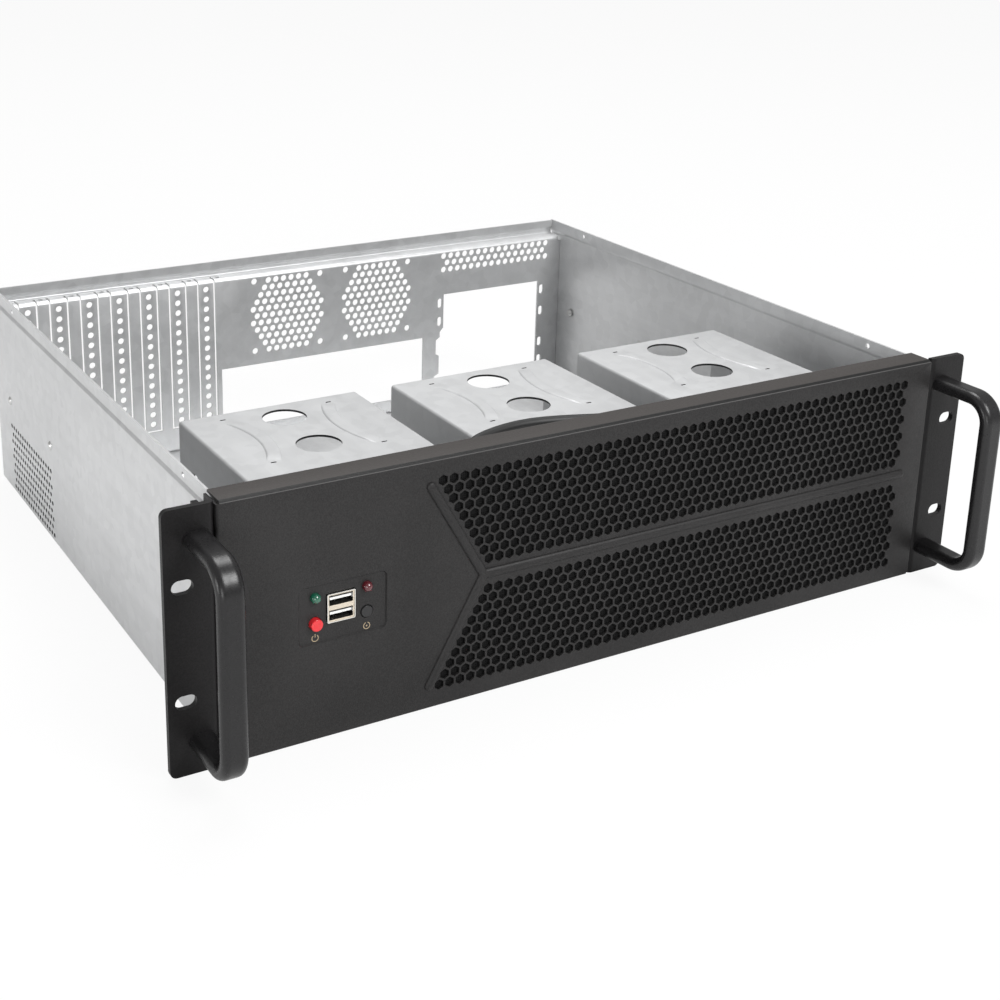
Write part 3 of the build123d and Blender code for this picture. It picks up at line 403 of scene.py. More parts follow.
materials = {
    "galvanised": galvanised(
        "galvanised steel",
        dark=(0.56, 0.565, 0.57),
        light=(0.68, 0.685, 0.69),
        rough=0.4,
        cuts=wallHoleShade,
    ),
    "rearPlate": galvanised(
        "galvanised rear steel",
        dark=(0.52, 0.525, 0.53),
        light=(0.62, 0.625, 0.63),
        rough=0.42,
    ),
    "cage": galvanised(
        "galvanised cage steel",
        dark=(0.5, 0.505, 0.51),
        light=(0.58, 0.585, 0.59),
        rough=0.48,
        metal=0.4,
        cuts=cageHoleShade,
    ),
    "panel": powderCoat(
        "black powder coat",
        dark=(0.0105, 0.01, 0.0101),
        light=(0.026, 0.0248, 0.0248),
        rough=0.5,
        gloss=0.3,
        paintedBands=topBendLightAndShade,
    ),
    # the ears take the panel's powder coat painted darker as painted shade, with a purple tint
    "ear": powderCoat(
        "shaded black ear coat",
        dark=(0.005, 0.0046, 0.0049),
        light=(0.0125, 0.0118, 0.0122),
        rough=0.45,
        gloss=0.22,
    ),
    "handle": powderCoat(
        "black satin paint",
        dark=(0.007, 0.0068, 0.0072),
        light=(0.014, 0.0135, 0.0142),
        rough=0.3,
        gloss=0.38,
        grainSize=1800.0,
        strength=0.06,
    ),
    "zinc": plated("zinc plate", (0.7, 0.7, 0.69), 0.32),
    "nickel": plated("nickel plate", (0.86, 0.84, 0.8), 0.2),
    "brass": plated("turned brass", (0.78, 0.58, 0.28), 0.3),
    "filter": wovenFilter("woven filter", weave),
    "blackPlastic": plastic("black plastic", (0.014, 0.014, 0.015), 0.35),
    "board": plastic("circuit board", (0.02, 0.11, 0.055), 0.4, 0.3),
    "pale": socketInsert("socket insert", ports),
    "greenLamp": plastic("green lamp", (0.004, 0.11, 0.06), 0.15, 1.0),
    "redLamp": plastic("red lamp", (0.1, 0.006, 0.012), 0.15, 1.0),
    "redButton": plastic("red button", (0.78, 0.022, 0.03), 0.35, 0.3),
    "print": plastic("gold print", (0.42, 0.33, 0.21), 0.5),
    "lead": plastic("cable jacket", (0.012, 0.012, 0.012), 0.5),
}
print("materials made")


# Helpers that every piece uses

def dress(mesh, material, angle=case["sharpAngle"]):
    mesh.materials.clear()
    mesh.materials.append(materials[material])
    mesh.shade_smooth()
    mesh.set_sharp_from_angle(angle=radians(angle))


def finishPiece(bm, name, material, replaced=(), body="case", angle=case["sharpAngle"]):
    bmesh.ops.scale(bm, vec=(0.001, 0.001, 0.001), verts=bm.verts)
    mesh = bpy.data.meshes.new(name)
    bm.to_mesh(mesh)
    bm.free()
    piece = bpy.data.objects.new(name, mesh)
    bpy.context.scene.collection.objects.link(piece)
    dress(mesh, material, angle)
    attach(piece, body)
    if replaced:
        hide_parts(*replaced)
    print("made", name, len(mesh.polygons), "faces")


def drawLoop(bm, points):
    verts = [bm.verts.new((x, y, 0)) for x, y in points]
    return [bm.edges.new((first, second)) for first, second in zip(verts, verts[1:] + verts[:1])]


def roundedLoop(bm, centre, width, height, radius, steps=5):
    points = []
    for quarter in range(4):
        signX = 1 if quarter in (0, 3) else -1
        signY = 1 if quarter < 2 else -1
        middleX = centre[0] + signX * (width / 2 - radius)
        middleY = centre[1] + signY * (height / 2 - radius)
        for step in range(steps + 1):
            turn = (quarter + step / steps) * pi / 2
            points.append((middleX + radius * cos(turn), middleY + radius * sin(turn)))
    return drawLoop(bm, points)


def drawHole(bm, x, y, radius, sides=12, length=0.0, upright=False):
    # a round hole, or a slot with round ends when it has a length
    place = Matrix.Translation((x, y, 0)) @ Matrix.Rotation(pi / sides, 4, "Z")
    verts = bmesh.ops.create_circle(bm, segments=sides, radius=radius, matrix=place)["verts"]
    reach = max(0.0, length / 2 - radius)
    for vert in verts:
        if upright:
            vert.co.y += reach if vert.co.y > y else -reach
        else:
            vert.co.x += reach if vert.co.x > x else -reach
    # each edge once, in the same order in every run
    return list(dict.fromkeys(edge for vert in verts for edge in vert.link_edges))


def fillSheet(bm, edges):
    filled = bmesh.ops.triangle_fill(bm, use_beauty=True, edges=edges, normal=(0, 0, 1))
    faces = [item for item in filled["geom"] if isinstance(item, bmesh.types.BMFace)]
    bm.normal_update()
    bmesh.ops.reverse_faces(bm, faces=[face for face in faces if face.normal.z < 0])
    return faces


def layOut(corners, radii):
    # where each run of a section starts on the flat sheet, where each bend lies, and the length
    turns = []
    for before, here, after in zip(corners, corners[1:], corners[2:]):
        first = atan2(here[1] - before[1], here[0] - before[0])
        second = atan2(after[1] - here[1], after[0] - here[0])
        turns.append((second - first + pi) % (2 * pi) - pi)
    trims = [radius * tan(abs(turn) / 2) for turn, radius in zip(turns, radii)]
    trims = [0.0] + trims + [0.0]
    starts, bends, place = [], [], 0.0
    for index, (first, second) in enumerate(zip(corners, corners[1:])):
        starts.append(place - trims[index])
        place += (Vector(second) - Vector(first)).length - trims[index] - trims[index + 1]
        if index < len(turns):
            bends.append((place, turns[index], radii[index]))
            place += radii[index] * abs(turns[index])
    return starts, bends, place


def foldSheet(bm, across, bends, steps=5):
    # each bend becomes a few small turns, and the outermost turns first
    snap, clear = 0.0005, 0.002
    across = Vector(across)
    cuts = []
    for start, turn, radius in bends:
        for step in range(steps):
            cuts.append((start + radius * abs(turn) * (step + 0.5) / steps, turn / steps))
    for cut, turn in cuts:
        sheet = bm.verts[:] + bm.edges[:] + bm.faces[:]
        bmesh.ops.bisect_plane(bm, geom=sheet, dist=snap, plane_co=across * cut, plane_no=across)
    beyond = []
    for cut, turn in cuts:
        beyond.append([vert for vert in bm.verts if vert.co.dot(across) > cut + clear])
    hinge = across.cross(Vector((0, 0, 1)))
    for (cut, turn), verts in reversed(list(zip(cuts, beyond))):
        matrix = Matrix.Rotation(turn, 3, hinge)
        bmesh.ops.rotate(bm, cent=across * cut, matrix=matrix, verts=verts)


def thicken(bm, thickness):
    bmesh.ops.solidify(bm, geom=bm.faces[:], thickness=thickness)


def placeSheet(bm, xAxis, yAxis, origin):
    # turns the flat sheet's own axes to the given ones
    xAxis, yAxis = Vector(xAxis), Vector(yAxis)
    turn = Matrix((xAxis, yAxis, xAxis.cross(yAxis))).transposed().to_4x4()
    bmesh.ops.transform(bm, matrix=Matrix.Translation(origin) @ turn, verts=bm.verts)


# The lead over the middle cage, along its solid's tube but for the arc above the front panel

lead = {
    "diameter": 5.5,
    "length": 430.9,
    "roundness": 6,
    "smoothness": 8,
    "order": 3,
    "points": [
        (-133.0, 18.85, 64.0),
        (-119.0, 18.85, 64.0),
        (-104.0, 18.6, 69.0),
        (-91.0, 18.8, 78.5),
        (-80.0, 18.6, 88.5),
        (-72.0, 20.0, 98.5),
        (-68.0, 27.5, 109.5),
        (-62.0, 39.0, 116.8),
        (-43.0, 46.0, 117.6),
        (-21.0, 49.5, 117.4),
        (2.0, 47.0, 116.2),
        (24.0, 41.0, 115.3),
        (42.5, 37.5, 115.6),
        (56.5, 38.5, 117.6),
        (68.0, 42.5, 111.0),
        (72.4, 47.5, 101.0),
        (72.0, 55.5, 87.5),
        (70.2, 66.0, 71.0),
        (69.4, 79.0, 53.0),
        (68.5, 95.0, 35.0),
        (68.8, 114.0, 20.0),
        (69.5, 134.0, 10.5),
        (75.0, 154.0, 5.6),
        (86.0, 170.0, 5.2),
        (98.0, 180.0, 5.2),
    ],
}


def makeLead(lead):
    curve = bpy.data.curves.new("control_lead", "CURVE")
    curve.dimensions = "3D"
    curve.bevel_depth = lead["diameter"] / 2000
    curve.bevel_resolution = lead["roundness"]
    curve.resolution_u = lead["smoothness"]
    curve.use_fill_caps = True
    spline = curve.splines.new("NURBS")
    spline.points.add(len(lead["points"]) - 1)
    for point, (x, y, height) in zip(spline.points, lead["points"]):
        point.co = (*metres(x, y, up(height)), 1)
    spline.order_u = lead["order"]
    spline.use_endpoint_u = True
    piece = bpy.data.objects.new("control_lead", curve)
    bpy.context.scene.collection.objects.link(piece)
    curve.materials.append(materials["lead"])
    x, y, height = lead["points"][0]
    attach(piece, "case")
    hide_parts("panel_lead")
    metres(x, y, up(height))
    lead["length"] / 1000
    lead["diameter"] / 1000


makeLead(lead)
print("lead laid")


# Front panel: two honeycomb grilles, a window for the controls and four folded flanges

honeycomb = {
    "pitch": 5.94,
    "flats": 4.9,
    "rows": 10,
    "leftX": -101.2,
    "rightX": 195.9,
    "upperTop": 120.7,
    "lowerTop": 58.2,
    "slack": 0.02,
}


def honeycombPlaces(comb):
    # downwards, the upper grille's rows start further right and the lower one's further left
    pitch = comb["pitch"]
    rowPitch = pitch * sqrt(3) / 2
    places = []
    for row in range(comb["rows"]):
        upperShift = row * pitch / 2
        lowerShift = (comb["rows"] - 1 - row) * pitch / 2
        for shift, top in ((upperShift, comb["upperTop"]), (lowerShift, comb["lowerTop"])):
            first = comb["leftX"] + shift
            count = 1 + int((comb["rightX"] - first) / pitch + comb["slack"])
            places += [(first + pitch * step, up(top - row * rowPitch)) for step in range(count)]
    return places


def drawHoneycomb(bm, comb):
    # hexagonal cells side by side, each inset to its hole
    corner = comb["pitch"] / sqrt(3)
    cells = []
    for x, z in honeycombPlaces(comb):
        place = Matrix.Translation((x, z, 0))
        made = bmesh.ops.create_circle(bm, cap_ends=True, segments=6, radius=corner, matrix=place)
        cells.append(made["verts"][0].link_faces[0])
    bm.normal_update()
    wall = (comb["pitch"] - comb["flats"]) / 2
    bmesh.ops.inset_individual(bm, faces=cells, thickness=wall, use_even_offset=True)
    holeVerts = {vert for face in cells for vert in face.verts}
    bmesh.ops.delete(bm, geom=cells, context="FACES_ONLY")
    holeEdges = {edge for edge in bm.edges if holeVerts.issuperset(edge.verts)}
    wallVerts = [vert for vert in bm.verts if vert not in holeVerts]
    bmesh.ops.remove_doubles(bm, verts=wallVerts, dist=comb["slack"])
    return [edge for edge in bm.edges if edge.is_boundary and edge not in holeEdges]


frontPanel = {
    "flange": 15.0,
    "bend": 1.4,
    "relief": 0.25,
    "window": (-153.9, 65.9, 46.3, 30.2, 3.0),
    "recess": 0.8,
    "draft": 0.5,
    "lamps": ((-168.2, 74.7), (-141.2, 74.7)),
    "buttons": ((-168.2, 61.4), (-141.2, 61.4)),
    "lampRadius": 2.6,
    "buttonRadius": 3.4,
    "socket": (-154.9, 67.6, 15.3, 15.5, 0.9),
    "earScrews": (24.0, 66.3, 108.5),
    "earScrewDepth": 9.6,
    "earScrewRadius": 2.1,
}


def frontOutline(panel):
    # a cross: the front face and one tab for each flange
    halfWidth = case["panelWidth"] / 2
    halfHeight = case["height"] / 2
    bend = panel["bend"]
    reach = panel["flange"] - bend + bend * pi / 2
    flatX, flatY = halfWidth - bend, halfHeight - bend
    tabX, tabY = flatX - panel["relief"], flatY - panel["relief"]
    points = []
    for signX, signY in ((1, 1), (-1, 1), (-1, -1), (1, -1)):
        corner = [
            (signX * (flatX + reach), signY * tabY),
            (signX * flatX, signY * tabY),
            (signX * tabX, signY * flatY),
            (signX * tabX, signY * (flatY + reach)),
        ]
        points += corner if signX * signY > 0 else corner[::-1]
    return points, flatX, flatY


def sinkRecess(bm, panel, window):
    # the recess's floor with its holes, joined to the window by sloped walls
    x, place, width, height, radius = panel["window"]
    draft = panel["draft"]
    width, height, radius = width - 2 * draft, height - 2 * draft, radius - draft
    rim = roundedLoop(bm, (x, up(place)), width, height, radius)
    holes = []
    for x, place in panel["lamps"]:
        holes += drawHole(bm, x, up(place), panel["lampRadius"], 20)
    for x, place in panel["buttons"]:
        holes += drawHole(bm, x, up(place), panel["buttonRadius"], 24)
    x, place, width, height, radius = panel["socket"]
    holes += roundedLoop(bm, (x, up(place)), width, height, radius, 3)
    faces = fillSheet(bm, rim + holes)
    verts = list({vert for face in faces for vert in face.verts})
    bmesh.ops.translate(bm, vec=(0, 0, -panel["recess"]), verts=verts)
    bmesh.ops.bridge_loops(bm, edges=window + rim)


def makeFrontPanel(panel, comb):
    bm = bmesh.new()
    bend = panel["bend"]
    rim = drawHoneycomb(bm, comb)
    points, flatX, flatY = frontOutline(panel)
    outline = drawLoop(bm, points)
    x, place, width, height, radius = panel["window"]
    window = roundedLoop(bm, (x, up(place)), width, height, radius)
    screws = []
    for side in (-1, 1):
        x = side * (flatX + bend * (pi / 2 - 1) + panel["earScrewDepth"])
        for place in panel["earScrews"]:
            screws += drawHole(bm, x, up(place), panel["earScrewRadius"])
    fillSheet(bm, rim + outline + window + screws)
    sinkRecess(bm, panel, window)
    for side in (1, -1):
        foldSheet(bm, (side, 0, 0), [(flatX, -pi / 2, bend)], 4)
    for side in (1, -1):
        foldSheet(bm, (0, side, 0), [(flatY, -pi / 2, bend)], 4)
    bmesh.ops.recalc_face_normals(bm, faces=bm.faces)
    thicken(bm, case["sheet"])
    placeSheet(bm, (1, 0, 0), (0, 0, 1), (0, case["frontY"], 0))
    finishPiece(bm, "front_panel", "panel", ["fascia"])


ridge = {
    "width": 5.0,
    "height": 1.5,
    "top": (-107.6, 118.4),
    "tip": (-77.3, 66.6),
    "low": (-107.0, 12.6),
    "rightX": 200.0,
    "segments": 24,
    "smoothAngle": 60,
}


def addRib(bm, ridge, first, second):
    # a flat capsule from one point to the other
    first, second = Vector(first), Vector(second)
    span = second - first
    around = ridge["segments"]
    made = bmesh.ops.create_uvsphere(bm, u_segments=around, v_segments=around // 2, radius=1)
    verts = made["verts"]
    size = (ridge["width"] / 2, ridge["height"], ridge["width"] / 2)
    for turn, axis in ((pi / 2, "X"), (pi / around, "Y")):
        bmesh.ops.rotate(bm, cent=(0, 0, 0), matrix=Matrix.Rotation(turn, 3, axis), verts=verts)
    bmesh.ops.scale(bm, vec=size, verts=verts)
    for vert in verts:
        vert.co.x += span.length / 2 if vert.co.x > 0 else -span.length / 2
    slope = Matrix.Rotation(-atan2(span.y, span.x), 3, "Y")
    bmesh.ops.rotate(bm, cent=(0, 0, 0), matrix=slope, verts=verts)
    middle = (first + second) / 2
    bmesh.ops.translate(bm, vec=(middle.x, case["frontY"], up(middle.y)), verts=verts)


def makeRidge(ridge):
    bm = bmesh.new()
    tip = ridge["tip"]
    for end in (ridge["top"], ridge["low"], (ridge["rightX"], tip[1])):
        addRib(bm, ridge, tip, end)
    finishPiece(bm, "arrow_ridge", "panel", angle=ridge["smoothAngle"])


makeFrontPanel(frontPanel, honeycomb)
makeRidge(ridge)


# Printed signs beside the buttons: a power sign and a ring with a dot

signs = {
    "ringOuter": 1.85,
    "ringInner": 1.45,
    "raise": 0.04,
    "power": (-168.2, 53.8),
    "reset": (-141.2, 53.8),
    "powerGap": 70.0,
    "resetGap": 35.0,
    "bar": (0.4, 1.7),
    "dotOuter": 0.45,
    "dotInner": 0.02,
    "steps": 28,
}


def addArc(bm, centre, inner, outer, gap=0.0):
    # a flat ring that is open at its top by the gap, in degrees
    gap = radians(gap)
    start = pi / 2 + gap / 2
    spoke = Vector((cos(start), 0, sin(start)))
    ends = [bm.verts.new(centre + spoke * inner), bm.verts.new(centre + spoke * outer)]
    edge = bm.edges.new(ends)
    bmesh.ops.spin(
        bm,
        geom=[*ends, edge],
        cent=centre,
        axis=(0, -1, 0),
        angle=2 * pi - gap,
        steps=signs["steps"],
        use_merge=not gap,
    )


def makeSigns(signs):
    bm = bmesh.new()
    y = case["frontY"] + frontPanel["recess"] - signs["raise"]
    power, reset = (Vector((x, y, up(place))) for x, place in (signs["power"], signs["reset"]))
    addArc(bm, power, signs["ringInner"], signs["ringOuter"], signs["powerGap"])
    width, length = signs["bar"]
    bar = bmesh.ops.create_grid(bm, x_segments=1, y_segments=1, size=0.5)["verts"]
    bmesh.ops.rotate(bm, cent=(0, 0, 0), matrix=Matrix.Rotation(pi / 2, 3, "X"), verts=bar)
    bmesh.ops.scale(bm, vec=(width, 1, length), verts=bar)
    rise = Vector((0, 0, signs["ringOuter"] - length / 3))
    bmesh.ops.translate(bm, vec=power + rise, verts=bar)
    addArc(bm, reset, signs["ringInner"], signs["ringOuter"], signs["resetGap"])
    addArc(bm, reset, signs["dotInner"], signs["dotOuter"])
    bmesh.ops.recalc_face_normals(bm, faces=bm.faces)
    finishPiece(bm, "printed_signs", "print")


makeSigns(signs)


# Tub: floor and walls from one sheet, folded about lines that run front to back

tub = {
    "bend": 2.6,
    "stepBend": 0.8,
    "stepTop": 124.4,
    "stepLow": 122.6,
    "lidHoles": ((43.0, 127.6), (333.0, 127.6)),
    "lidHoleRadius": 1.6,
    "rivetHoles": ((346.4, 65.0), (260.4, 65.0)),
    "rivetHoleRadius": 1.5,
    "ventFrontY": 262.0,
    "ventTop": 48.2,
    "ventPitch": 4.95,
    "ventRow": 5.2,
    "ventHoles": 18,
    "ventRows": 9,
    "ventRadius": 1.5,
    "ventSides": 10,
}


def tubCorners(tub):
    # the outer surface from the right wall's top edge, as (down, inwards)
    top, step, low = case["topHeight"], case["lidStep"], case["bottomHeight"]
    right = [
        (0.0, 0.0),
        (top - tub["stepTop"], 0.0),
        (top - tub["stepLow"], -step),
        (top - low, -step),
    ]
    width = case["width"] - 2 * step
    return right + [(down, width - inwards) for down, inwards in reversed(right)]


def makeTub(tub):
    half = [tub["stepBend"], tub["stepBend"], tub["bend"]]
    starts, bends, length = layOut(tubCorners(tub), half + half[::-1])

    def rightWall(height):
        return starts[2] + tub["stepLow"] - height

    def leftWall(height):
        return starts[4] + height - case["bottomHeight"]

    front, rear = case["frontY"] + case["sheet"], case["rearY"]
    bm = bmesh.new()
    edges = drawLoop(bm, [(front, 0), (rear, 0), (rear, length), (front, length)])
    for y, height in tub["lidHoles"]:
        fromTop = case["topHeight"] - height
        edges += drawHole(bm, y, fromTop, tub["lidHoleRadius"])
        edges += drawHole(bm, y, length - fromTop, tub["lidHoleRadius"])
    for y, height in tub["rivetHoles"]:
        edges += drawHole(bm, y, rightWall(height), tub["rivetHoleRadius"])
        edges += drawHole(bm, y, leftWall(height), tub["rivetHoleRadius"])
    for row in range(tub["ventRows"]):
        place = leftWall(tub["ventTop"] - row * tub["ventRow"])
        first = tub["ventFrontY"] + (row % 2) * tub["ventPitch"] / 2
        for step in range(tub["ventHoles"] - row % 2):
            y = first + step * tub["ventPitch"]
            edges += drawHole(bm, y, place, tub["ventRadius"], tub["ventSides"])
    fillSheet(bm, edges)
    foldSheet(bm, (0, 1, 0), bends)
    thicken(bm, -case["sheet"])
    rightX = case["width"] / 2 - case["lidStep"]
    placeSheet(bm, (0, 1, 0), (0, 0, -1), (rightX, 0, up(case["topHeight"])))
    finishPiece(bm, "case_tub", "galvanised", ["chassis_tub"])


makeTub(tub)


# Rear panel: foot, recessed plate, ledge and stepped top edge, with every vent at its real size.
# The flat sheet is seen from behind, so X is drawn the other way round.

rear = {
    "halfWidth": 213.4,
    "footEnd": 376.2,
    "bend": 2.6,
    "innerBend": 1.0,
    "stepBend": 0.8,
    "stepLow": 124.3,
    "stepTop": 126.1,
    "footRelief": 4.2,
    "ledgeRelief": 1.0,
    "topGap": 0.3,
    "cardFirstX": -195.2,
    "cardPitch": 20.32,
    "cards": 7,
    "blankWidth": 10.4,
    "slit": 1.3,
    "blankBottom": 19.3,
    "ledgeCut": 8.0,
    "blankHoleRadius": 2.15,
    "blankTopHole": 115.4,
    "blankHoles": 14,
    "blankPitch": 6.94,
    "cardScrew": 1.7,
    "cardScrewBack": 5.5,
    "io": (-63.2, 12.4, 158.75, 44.45),
    "fanCentres": (-13.0, 57.0),
    "fanHeight": 91.5,
    "fanSpacing": 50.0,
    "fanScrew": 2.25,
    "fanPitch": 5.75,
    "fanRow": 4.98,
    "fanRows": (6, 7, 8, 9, 10, 9, 10, 9, 8, 7, 6),
    "fanHole": 2.25,
    "stripLeft": 112.0,
    "stripTop": 117.0,
    "stripPitch": 5.9,
    "stripRows": (16, 15, 16),
    "stripHole": 2.3,
    "stripRow": 5.1,
    "supply": [
        (112.4, 88.0),
        (112.4, 62.6),
        (109.6, 59.4),
        (109.6, 55.6),
        (106.4, 53.4),
        (106.4, 42.6),
        (109.2, 41.0),
        (109.2, 27.0),
        (105.2, 25.4),
        (105.2, 19.6),
        (109.2, 18.0),
        (109.2, 8.0),
        (194.6, 8.0),
        (194.6, 88.0),
    ],
    "supplySlots": [
        (109.2, 81.6),
        (109.2, 67.6),
        (197.8, 81.2),
        (197.8, 64.4),
        (197.8, 39.6),
        (197.8, 25.4),
    ],
    "supplySlot": (1.8, 7.2),
}


def rearCorners(rear):
    # the underside of the foot, then the plate's front, as (forward, up) from the foot's rear edge
    low = case["floorHeight"]
    forward = rear["footEnd"] - case["plateY"]
    outer = rear["footEnd"] - (case["rearY"] - case["sheet"])
    return [
        (0.0, 0.0),
        (forward, 0.0),
        (forward, case["ledge"] - low),
        (outer, case["ledge"] - low),
        (outer, rear["stepLow"] - low),
        (outer + case["lidStep"], rear["stepTop"] - low),
        (outer + case["lidStep"], case["topHeight"] - low),
    ]


def rearOutline(rear, bends, length):
    # narrower at the foot's bend and past the ledge, where the tub's walls step in
    half = rear["halfWidth"]
    foot = half - rear["bend"]
    top = half - case["lidStep"] - rear["topGap"]
    footLine = bends[0][0] + rear["footRelief"]
    ledgeLine = bends[1][0] - rear["ledgeRelief"]
    return [
        (-foot, 0),
        (foot, 0),
        (foot, footLine),
        (half, footLine),
        (half, ledgeLine),
        (top, ledgeLine),
        (top, length),
        (-top, length),
        (-top, ledgeLine),
        (-half, ledgeLine),
        (-half, footLine),
        (-foot, footLine),
    ]


def blankOutline(rear, x, bottom, top):
    # one slit that runs down one side of a card blank, across its foot and up the other side
    half = rear["blankWidth"] / 2
    slit = rear["slit"]
    return [
        (x - half - slit, top),
        (x - half - slit, bottom),
        (x + half + slit, bottom),
        (x + half + slit, top),
        (x + half, top),
        (x + half, bottom + slit),
        (x - half, bottom + slit),
        (x - half, top),
    ]


def drawBlanks(bm, rear, plate, ledge):
    edges = []
    for card in range(rear["cards"]):
        x = -(rear["cardFirstX"] + card * rear["cardPitch"])
        outline = blankOutline(rear, x, plate(rear["blankBottom"]), ledge + rear["ledgeCut"])
        edges += drawLoop(bm, outline)
        for hole in range(rear["blankHoles"]):
            height = rear["blankTopHole"] - hole * rear["blankPitch"]
            edges += drawHole(bm, x, plate(height), rear["blankHoleRadius"])
        screwX, screwY = x - rear["cardPitch"] / 2, ledge + rear["cardScrewBack"]
        edges += drawHole(bm, screwX, screwY, rear["cardScrew"])
    return edges


def drawFanGrilles(bm, rear, plate):
    edges = []
    middle = (len(rear["fanRows"]) - 1) / 2
    for centre in rear["fanCentres"]:
        for row, count in enumerate(rear["fanRows"]):
            height = rear["fanHeight"] + (row - middle) * rear["fanRow"]
            for step in range(count):
                x = centre + (step - (count - 1) / 2) * rear["fanPitch"]
                edges += drawHole(bm, -x, plate(height), rear["fanHole"])
        for signX in (-1, 1):
            for signZ in (-1, 1):
                x = centre + signX * rear["fanSpacing"] / 2
                height = rear["fanHeight"] + signZ * rear["fanSpacing"] / 2
                edges += drawHole(bm, -x, plate(height), rear["fanScrew"])
    return edges


def drawVentStrip(bm, rear, plate):
    edges = []
    for row, count in enumerate(rear["stripRows"]):
        first = rear["stripLeft"] + (row % 2) * rear["stripPitch"] / 2
        height = rear["stripTop"] - row * rear["stripRow"]
        for step in range(count):
            x = first + step * rear["stripPitch"]
            edges += drawHole(bm, -x, plate(height), rear["stripHole"])
    return edges


def drawOpenings(bm, rear, plate):
    left, low, width, tall = rear["io"]
    square = [(left, low), (left + width, low), (left + width, low + tall), (left, low + tall)]
    edges = []
    for outline in (square, rear["supply"]):
        edges += drawLoop(bm, [(-x, plate(height)) for x, height in outline])
    radius, length = rear["supplySlot"]
    for x, height in rear["supplySlots"]:
        edges += drawHole(bm, -x, plate(height), radius, length=length, upright=True)
    return edges


def makeRear(rear):
    radii = [rear["bend"], rear["bend"], rear["innerBend"], rear["stepBend"], rear["stepBend"]]
    starts, bends, length = layOut(rearCorners(rear), radii)

    def plate(height):
        return starts[1] + height - case["floorHeight"]

    bm = bmesh.new()
    edges = drawLoop(bm, rearOutline(rear, bends, length))
    edges += drawBlanks(bm, rear, plate, starts[2])
    edges += drawFanGrilles(bm, rear, plate)
    edges += drawVentStrip(bm, rear, plate)
    edges += drawOpenings(bm, rear, plate)
    fillSheet(bm, edges)
    foldSheet(bm, (0, 1, 0), bends)
    thicken(bm, -case["sheet"])
    placeSheet(bm, (-1, 0, 0), (0, -1, 0), (0, rear["footEnd"], up(case["floorHeight"])))
    finishPiece(bm, "rear_plate", "rearPlate", ["rear_panel"])


makeRear(rear)


# Drive cages: one folded sheet each, with curved beads pressed up between the slits

cage = {
    "centres": {"left": -123.4, "middle": 4.6, "right": 132.6},
    "half": 52.8,
    "foot": 9.0,
    "footTop": 3.6,
    "top": 112.0,
    "bends": (0.6, 1.8),
    "frontY": 24.4,
    "rearY": 146.9,
    "hole": 12.1,
    "holeSides": 48,
    "holesY": (85.3, 127.8),
    "slitX": 31.2,
    "slitsY": (72.4, 138.4),
    "slit": (3.2, 1.2, 0.3, 2),  # width, depth, corner radius and steps
    "slotHeights": (28.0, 58.0, 88.0),
    "slotEdge": 22.0,
    "slot": (1.8, 7.0),
    "screwEdge": 14.0,
    "screw": 1.6,
    "beadBow": 8.5,
    "beadHalf": ((4.0, 0.0), (3.7, 0.3), (3.2, 0.6), (2.7, 0.65)),  # across and up
    "beadSink": 0.02,
    "beadClear": 2.2,
    "beadFade": 0.1,
    "beadSteps": 32,
}


def addBead(bm, cage, side):
    # a soft cross-section spun about the bead's centre, let down to the sheet at both ends
    first, last = cage["slitsY"]
    chord, bow = (last - first) / 2, cage["beadBow"]
    radius = (chord * chord + bow * bow) / (2 * bow)
    flat = cage["top"] - cage["beadSink"]
    centre = Vector((side * (cage["slitX"] - bow + radius), (first + last) / 2, flat))
    sweep = 2 * asin((chord - cage["beadClear"]) / radius)
    start = (pi if side > 0 else 0.0) - sweep / 2
    spoke = Vector((cos(start), sin(start), 0))
    profile = [(-across, rise) for across, rise in cage["beadHalf"]] + [*cage["beadHalf"][::-1]]
    earlier = set(bm.verts)
    section = []
    for across, rise in profile:
        place = centre + spoke * (radius + across) + Vector((0, 0, rise))
        section.append(bm.verts.new(place))
    edges = [bm.edges.new(pair) for pair in zip(section, section[1:])]
    steps = cage["beadSteps"]
    geom = section + edges
    bmesh.ops.spin(bm, geom=geom, cent=centre, axis=(0, 0, 1), angle=sweep, steps=steps)
    for vert in set(bm.verts) - earlier:
        turn = atan2(vert.co.y - centre.y, side * (centre.x - vert.co.x))
        fade = max(0.0, min(1.0, (sweep / 2 - abs(turn)) / cage["beadFade"]))
        vert.co.z = flat + (vert.co.z - flat) * fade


def makeBeads(cage):
    bm = bmesh.new()
    for side in (-1, 1):
        addBead(bm, cage, side)
    bmesh.ops.recalc_face_normals(bm, faces=bm.faces)
    bmesh.ops.reverse_faces(bm, faces=[face for face in bm.faces if face.normal.z < 0])
    mesh = bpy.data.meshes.new("beads")
    bm.to_mesh(mesh)
    bm.free()
    return mesh


